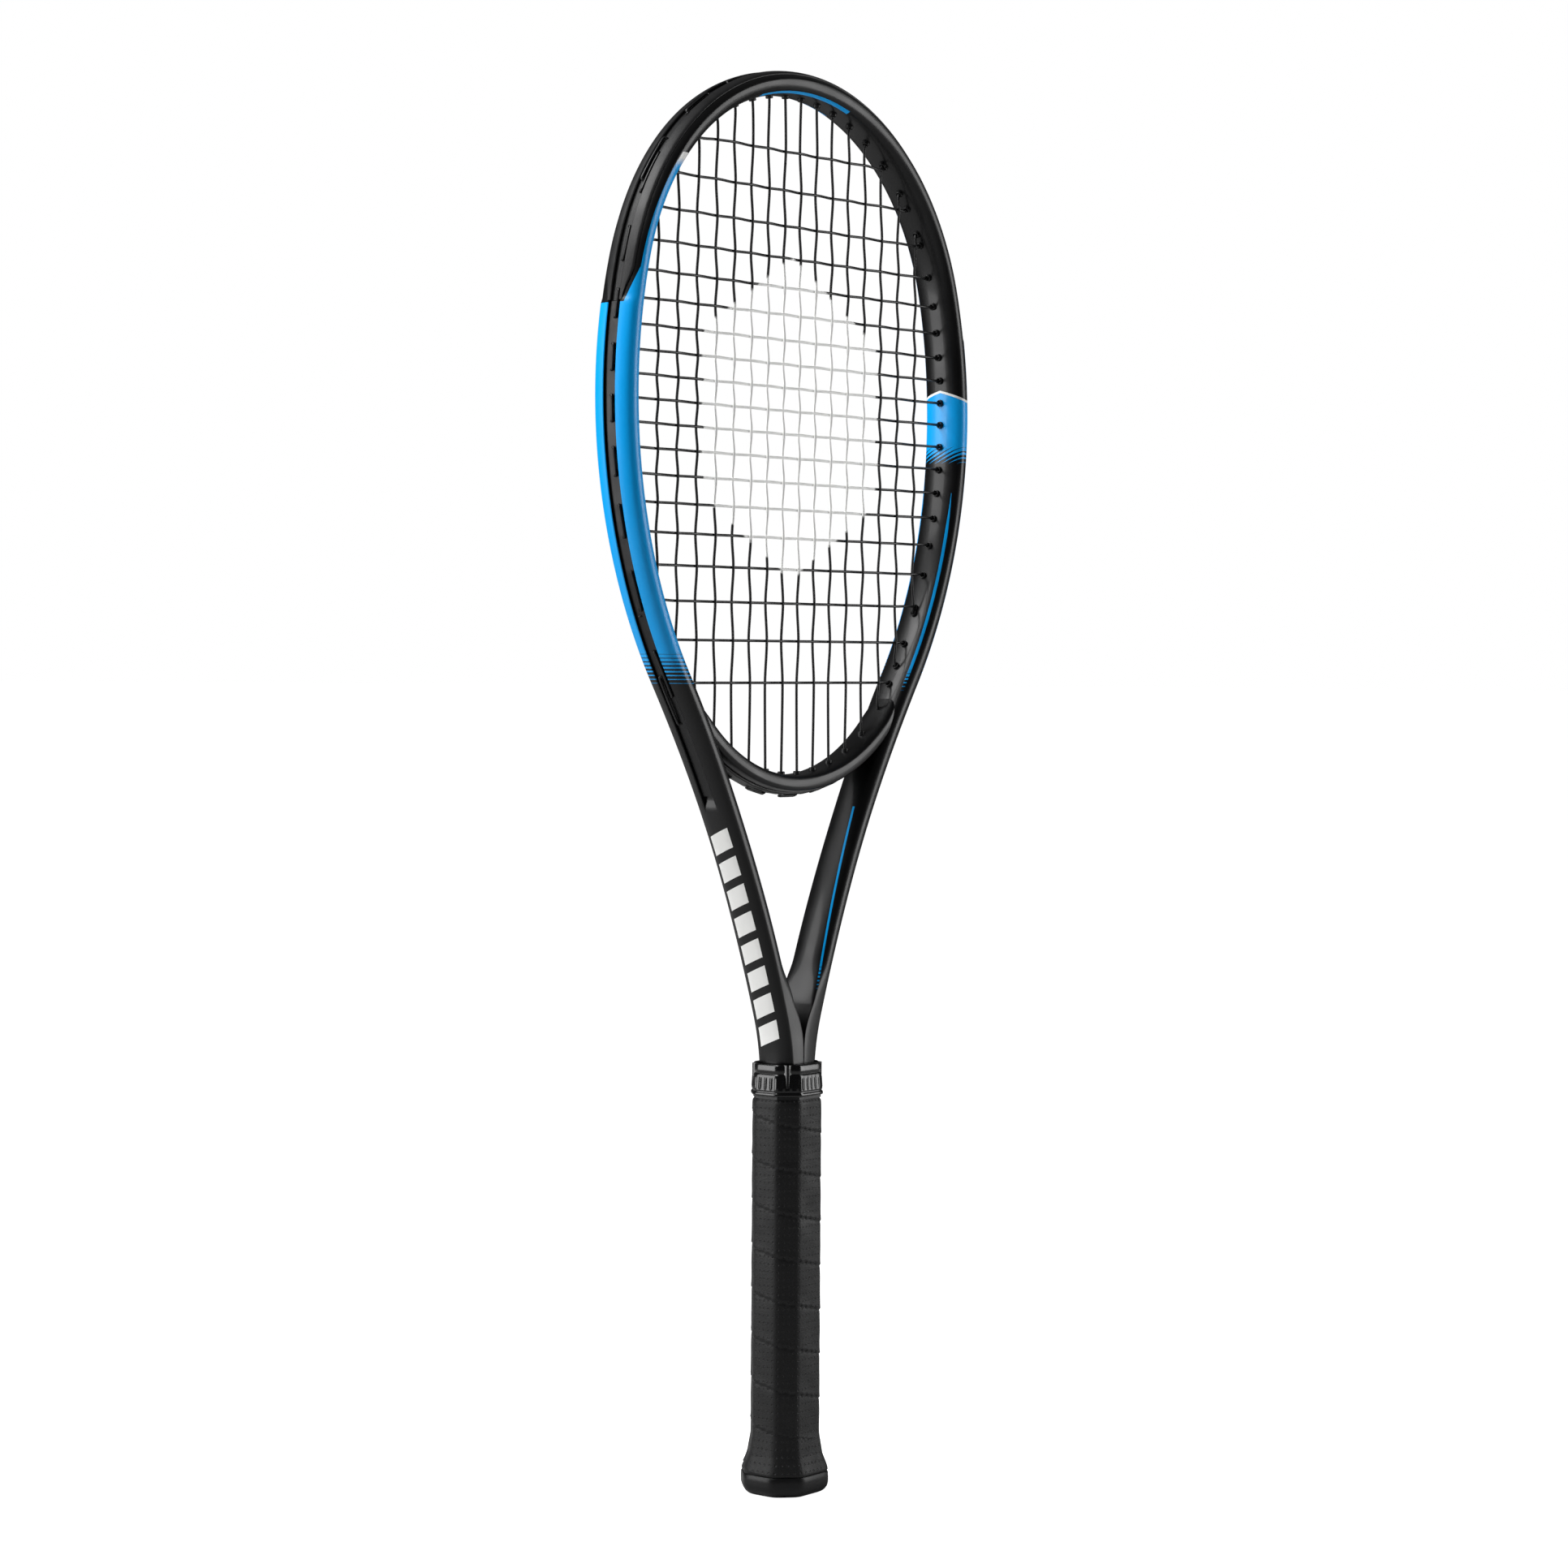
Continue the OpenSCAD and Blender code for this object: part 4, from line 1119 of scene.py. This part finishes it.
class RACKET_OT_stage(bpy.types.Operator):
    """Set up the pale floor, the softboxes, the world and the camera"""

    bl_idname = "racket.stage"
    bl_label = "Stage"

    def execute(self, context):
        stage = context.scene.racket_stage
        target = Vector((0, 0, 0.344))
        turn, rise = stage.azimuth, stage.elevation
        back = Vector((sin(turn) * cos(rise), -cos(turn) * cos(rise), sin(rise)))
        right = Vector((cos(turn), sin(turn), 0))
        up = back.cross(right)
        aside = right * cos(stage.roll) + up * sin(stage.roll)
        above = back.cross(aside)
        data = bpy.data.cameras.new("camera")
        data.lens, data.sensor_width, data.clip_end = stage.lens, 36.0, 200.0
        camera = bpy.data.objects.new("camera", data)
        place = target + back * stage.distance - aside * 0.00237
        camera.matrix_world = Matrix.Translation(place) @ Matrix((aside, above, back)).transposed().to_4x4()
        context.scene.collection.objects.link(camera)
        context.scene.camera = camera

        level = Vector((back.x, back.y, 0)).normalized()
        boxes = [
            ("softbox_left", -right * 1.4 + level * 0.35 + target, (0.5, 1.7), stage.side_light),
            ("softbox_right", right * 1.4 - level * 0.12 + target, (0.5, 1.7), stage.side_light * 0.85),
            ("softbox_top", Vector((0, 0, 1.6)) - right * 0.8 + level * 0.3, (1.0, 0.7), stage.top_light),
        ]
        for name, place, (width, height), power in boxes:
            light = bpy.data.lights.new(name, "AREA")
            light.shape, light.size, light.size_y, light.energy = "RECTANGLE", width, height, power
            lamp = bpy.data.objects.new(name, light)
            lamp.location = place
            lamp.rotation_euler = (target - place).to_track_quat("-Z", "Y").to_euler()
            context.scene.collection.objects.link(lamp)

        bm = bmesh.new()
        bmesh.ops.create_circle(bm, cap_ends=True, segments=96, radius=60.0)
        bmesh.ops.translate(bm, verts=bm.verts, vec=(0, 0, -0.0002))
        floor = finished("floor", bm)
        white = (1.0, 1.0, 1.0, 1.0)
        material, add, shader = finish("studio_floor_painted", Roughness=0.9, Emission_Color=white)
        coords = add("TexCoord").node.outputs["Object"]
        cloud = add("TexNoise", Vector=coords, Scale=3.0)
        shade = add("MapRange", Value=cloud, To_Min=0.6, To_Max=0.61)
        seen = add("LightPath").node.outputs["Is Camera Ray"]
        feed(shader, Base_Color=shade, Emission_Strength=add("MULTIPLY", seen, 0.97))
        floor.data.materials.append(material)

        # The floor and the backdrop are white to look at, and light the racket more softly than they look
        world = bpy.data.worlds.new("studio")
        add = adder(world)
        seen = add("LightPath").node.outputs["Is Camera Ray"]
        glow = add("MULTIPLY_ADD", seen, 0.93, 0.07)
        add("OutputWorld", Surface=add("Background", (1, 1, 1, 1), glow))
        context.scene.world = world
        context.scene.view_settings.view_transform = "Standard"
        return {"FINISHED"}


PIECES = (
    RACKET_OT_frame,
    RACKET_OT_bridge,
    RACKET_OT_bumper,
    RACKET_OT_strips,
    RACKET_OT_strings,
    RACKET_OT_grip,
    RACKET_OT_butt,
    RACKET_OT_collar,
    RACKET_OT_hidden,
    RACKET_OT_stage,
)


class RACKET_PT_panel(bpy.types.Panel):
    """Racket sizes, colours and building steps"""

    bl_idname = "RACKET_PT_panel"
    bl_label = "Tennis racket"
    bl_space_type = "VIEW_3D"
    bl_region_type = "UI"
    bl_category = "Racket"

    def draw(self, context):
        for group in (context.scene.racket_sizes, context.scene.racket_colours, context.scene.racket_stage):
            box = self.layout.box()
            for name in group.__annotations__:
                box.prop(group, name)
        for piece in PIECES:
            self.layout.operator(piece.bl_idname)


CLASSES = (RacketSizes, RacketColours, RacketStage, *PIECES, RACKET_PT_panel)


def register():
    for cls in CLASSES:
        bpy.utils.register_class(cls)
    bpy.types.Scene.racket_sizes = bpy.props.PointerProperty(type=RacketSizes)
    bpy.types.Scene.racket_colours = bpy.props.PointerProperty(type=RacketColours)
    bpy.types.Scene.racket_stage = bpy.props.PointerProperty(type=RacketStage)


def unregister():
    del bpy.types.Scene.racket_stage
    del bpy.types.Scene.racket_colours
    del bpy.types.Scene.racket_sizes
    for cls in reversed(CLASSES):
        bpy.utils.unregister_class(cls)


def main():
    """Build every piece."""
    register()
    for piece in PIECES:
        group, name = piece.bl_idname.split(".")
        getattr(getattr(bpy.ops, group), name)()


if __name__ == "__main__":
    main()
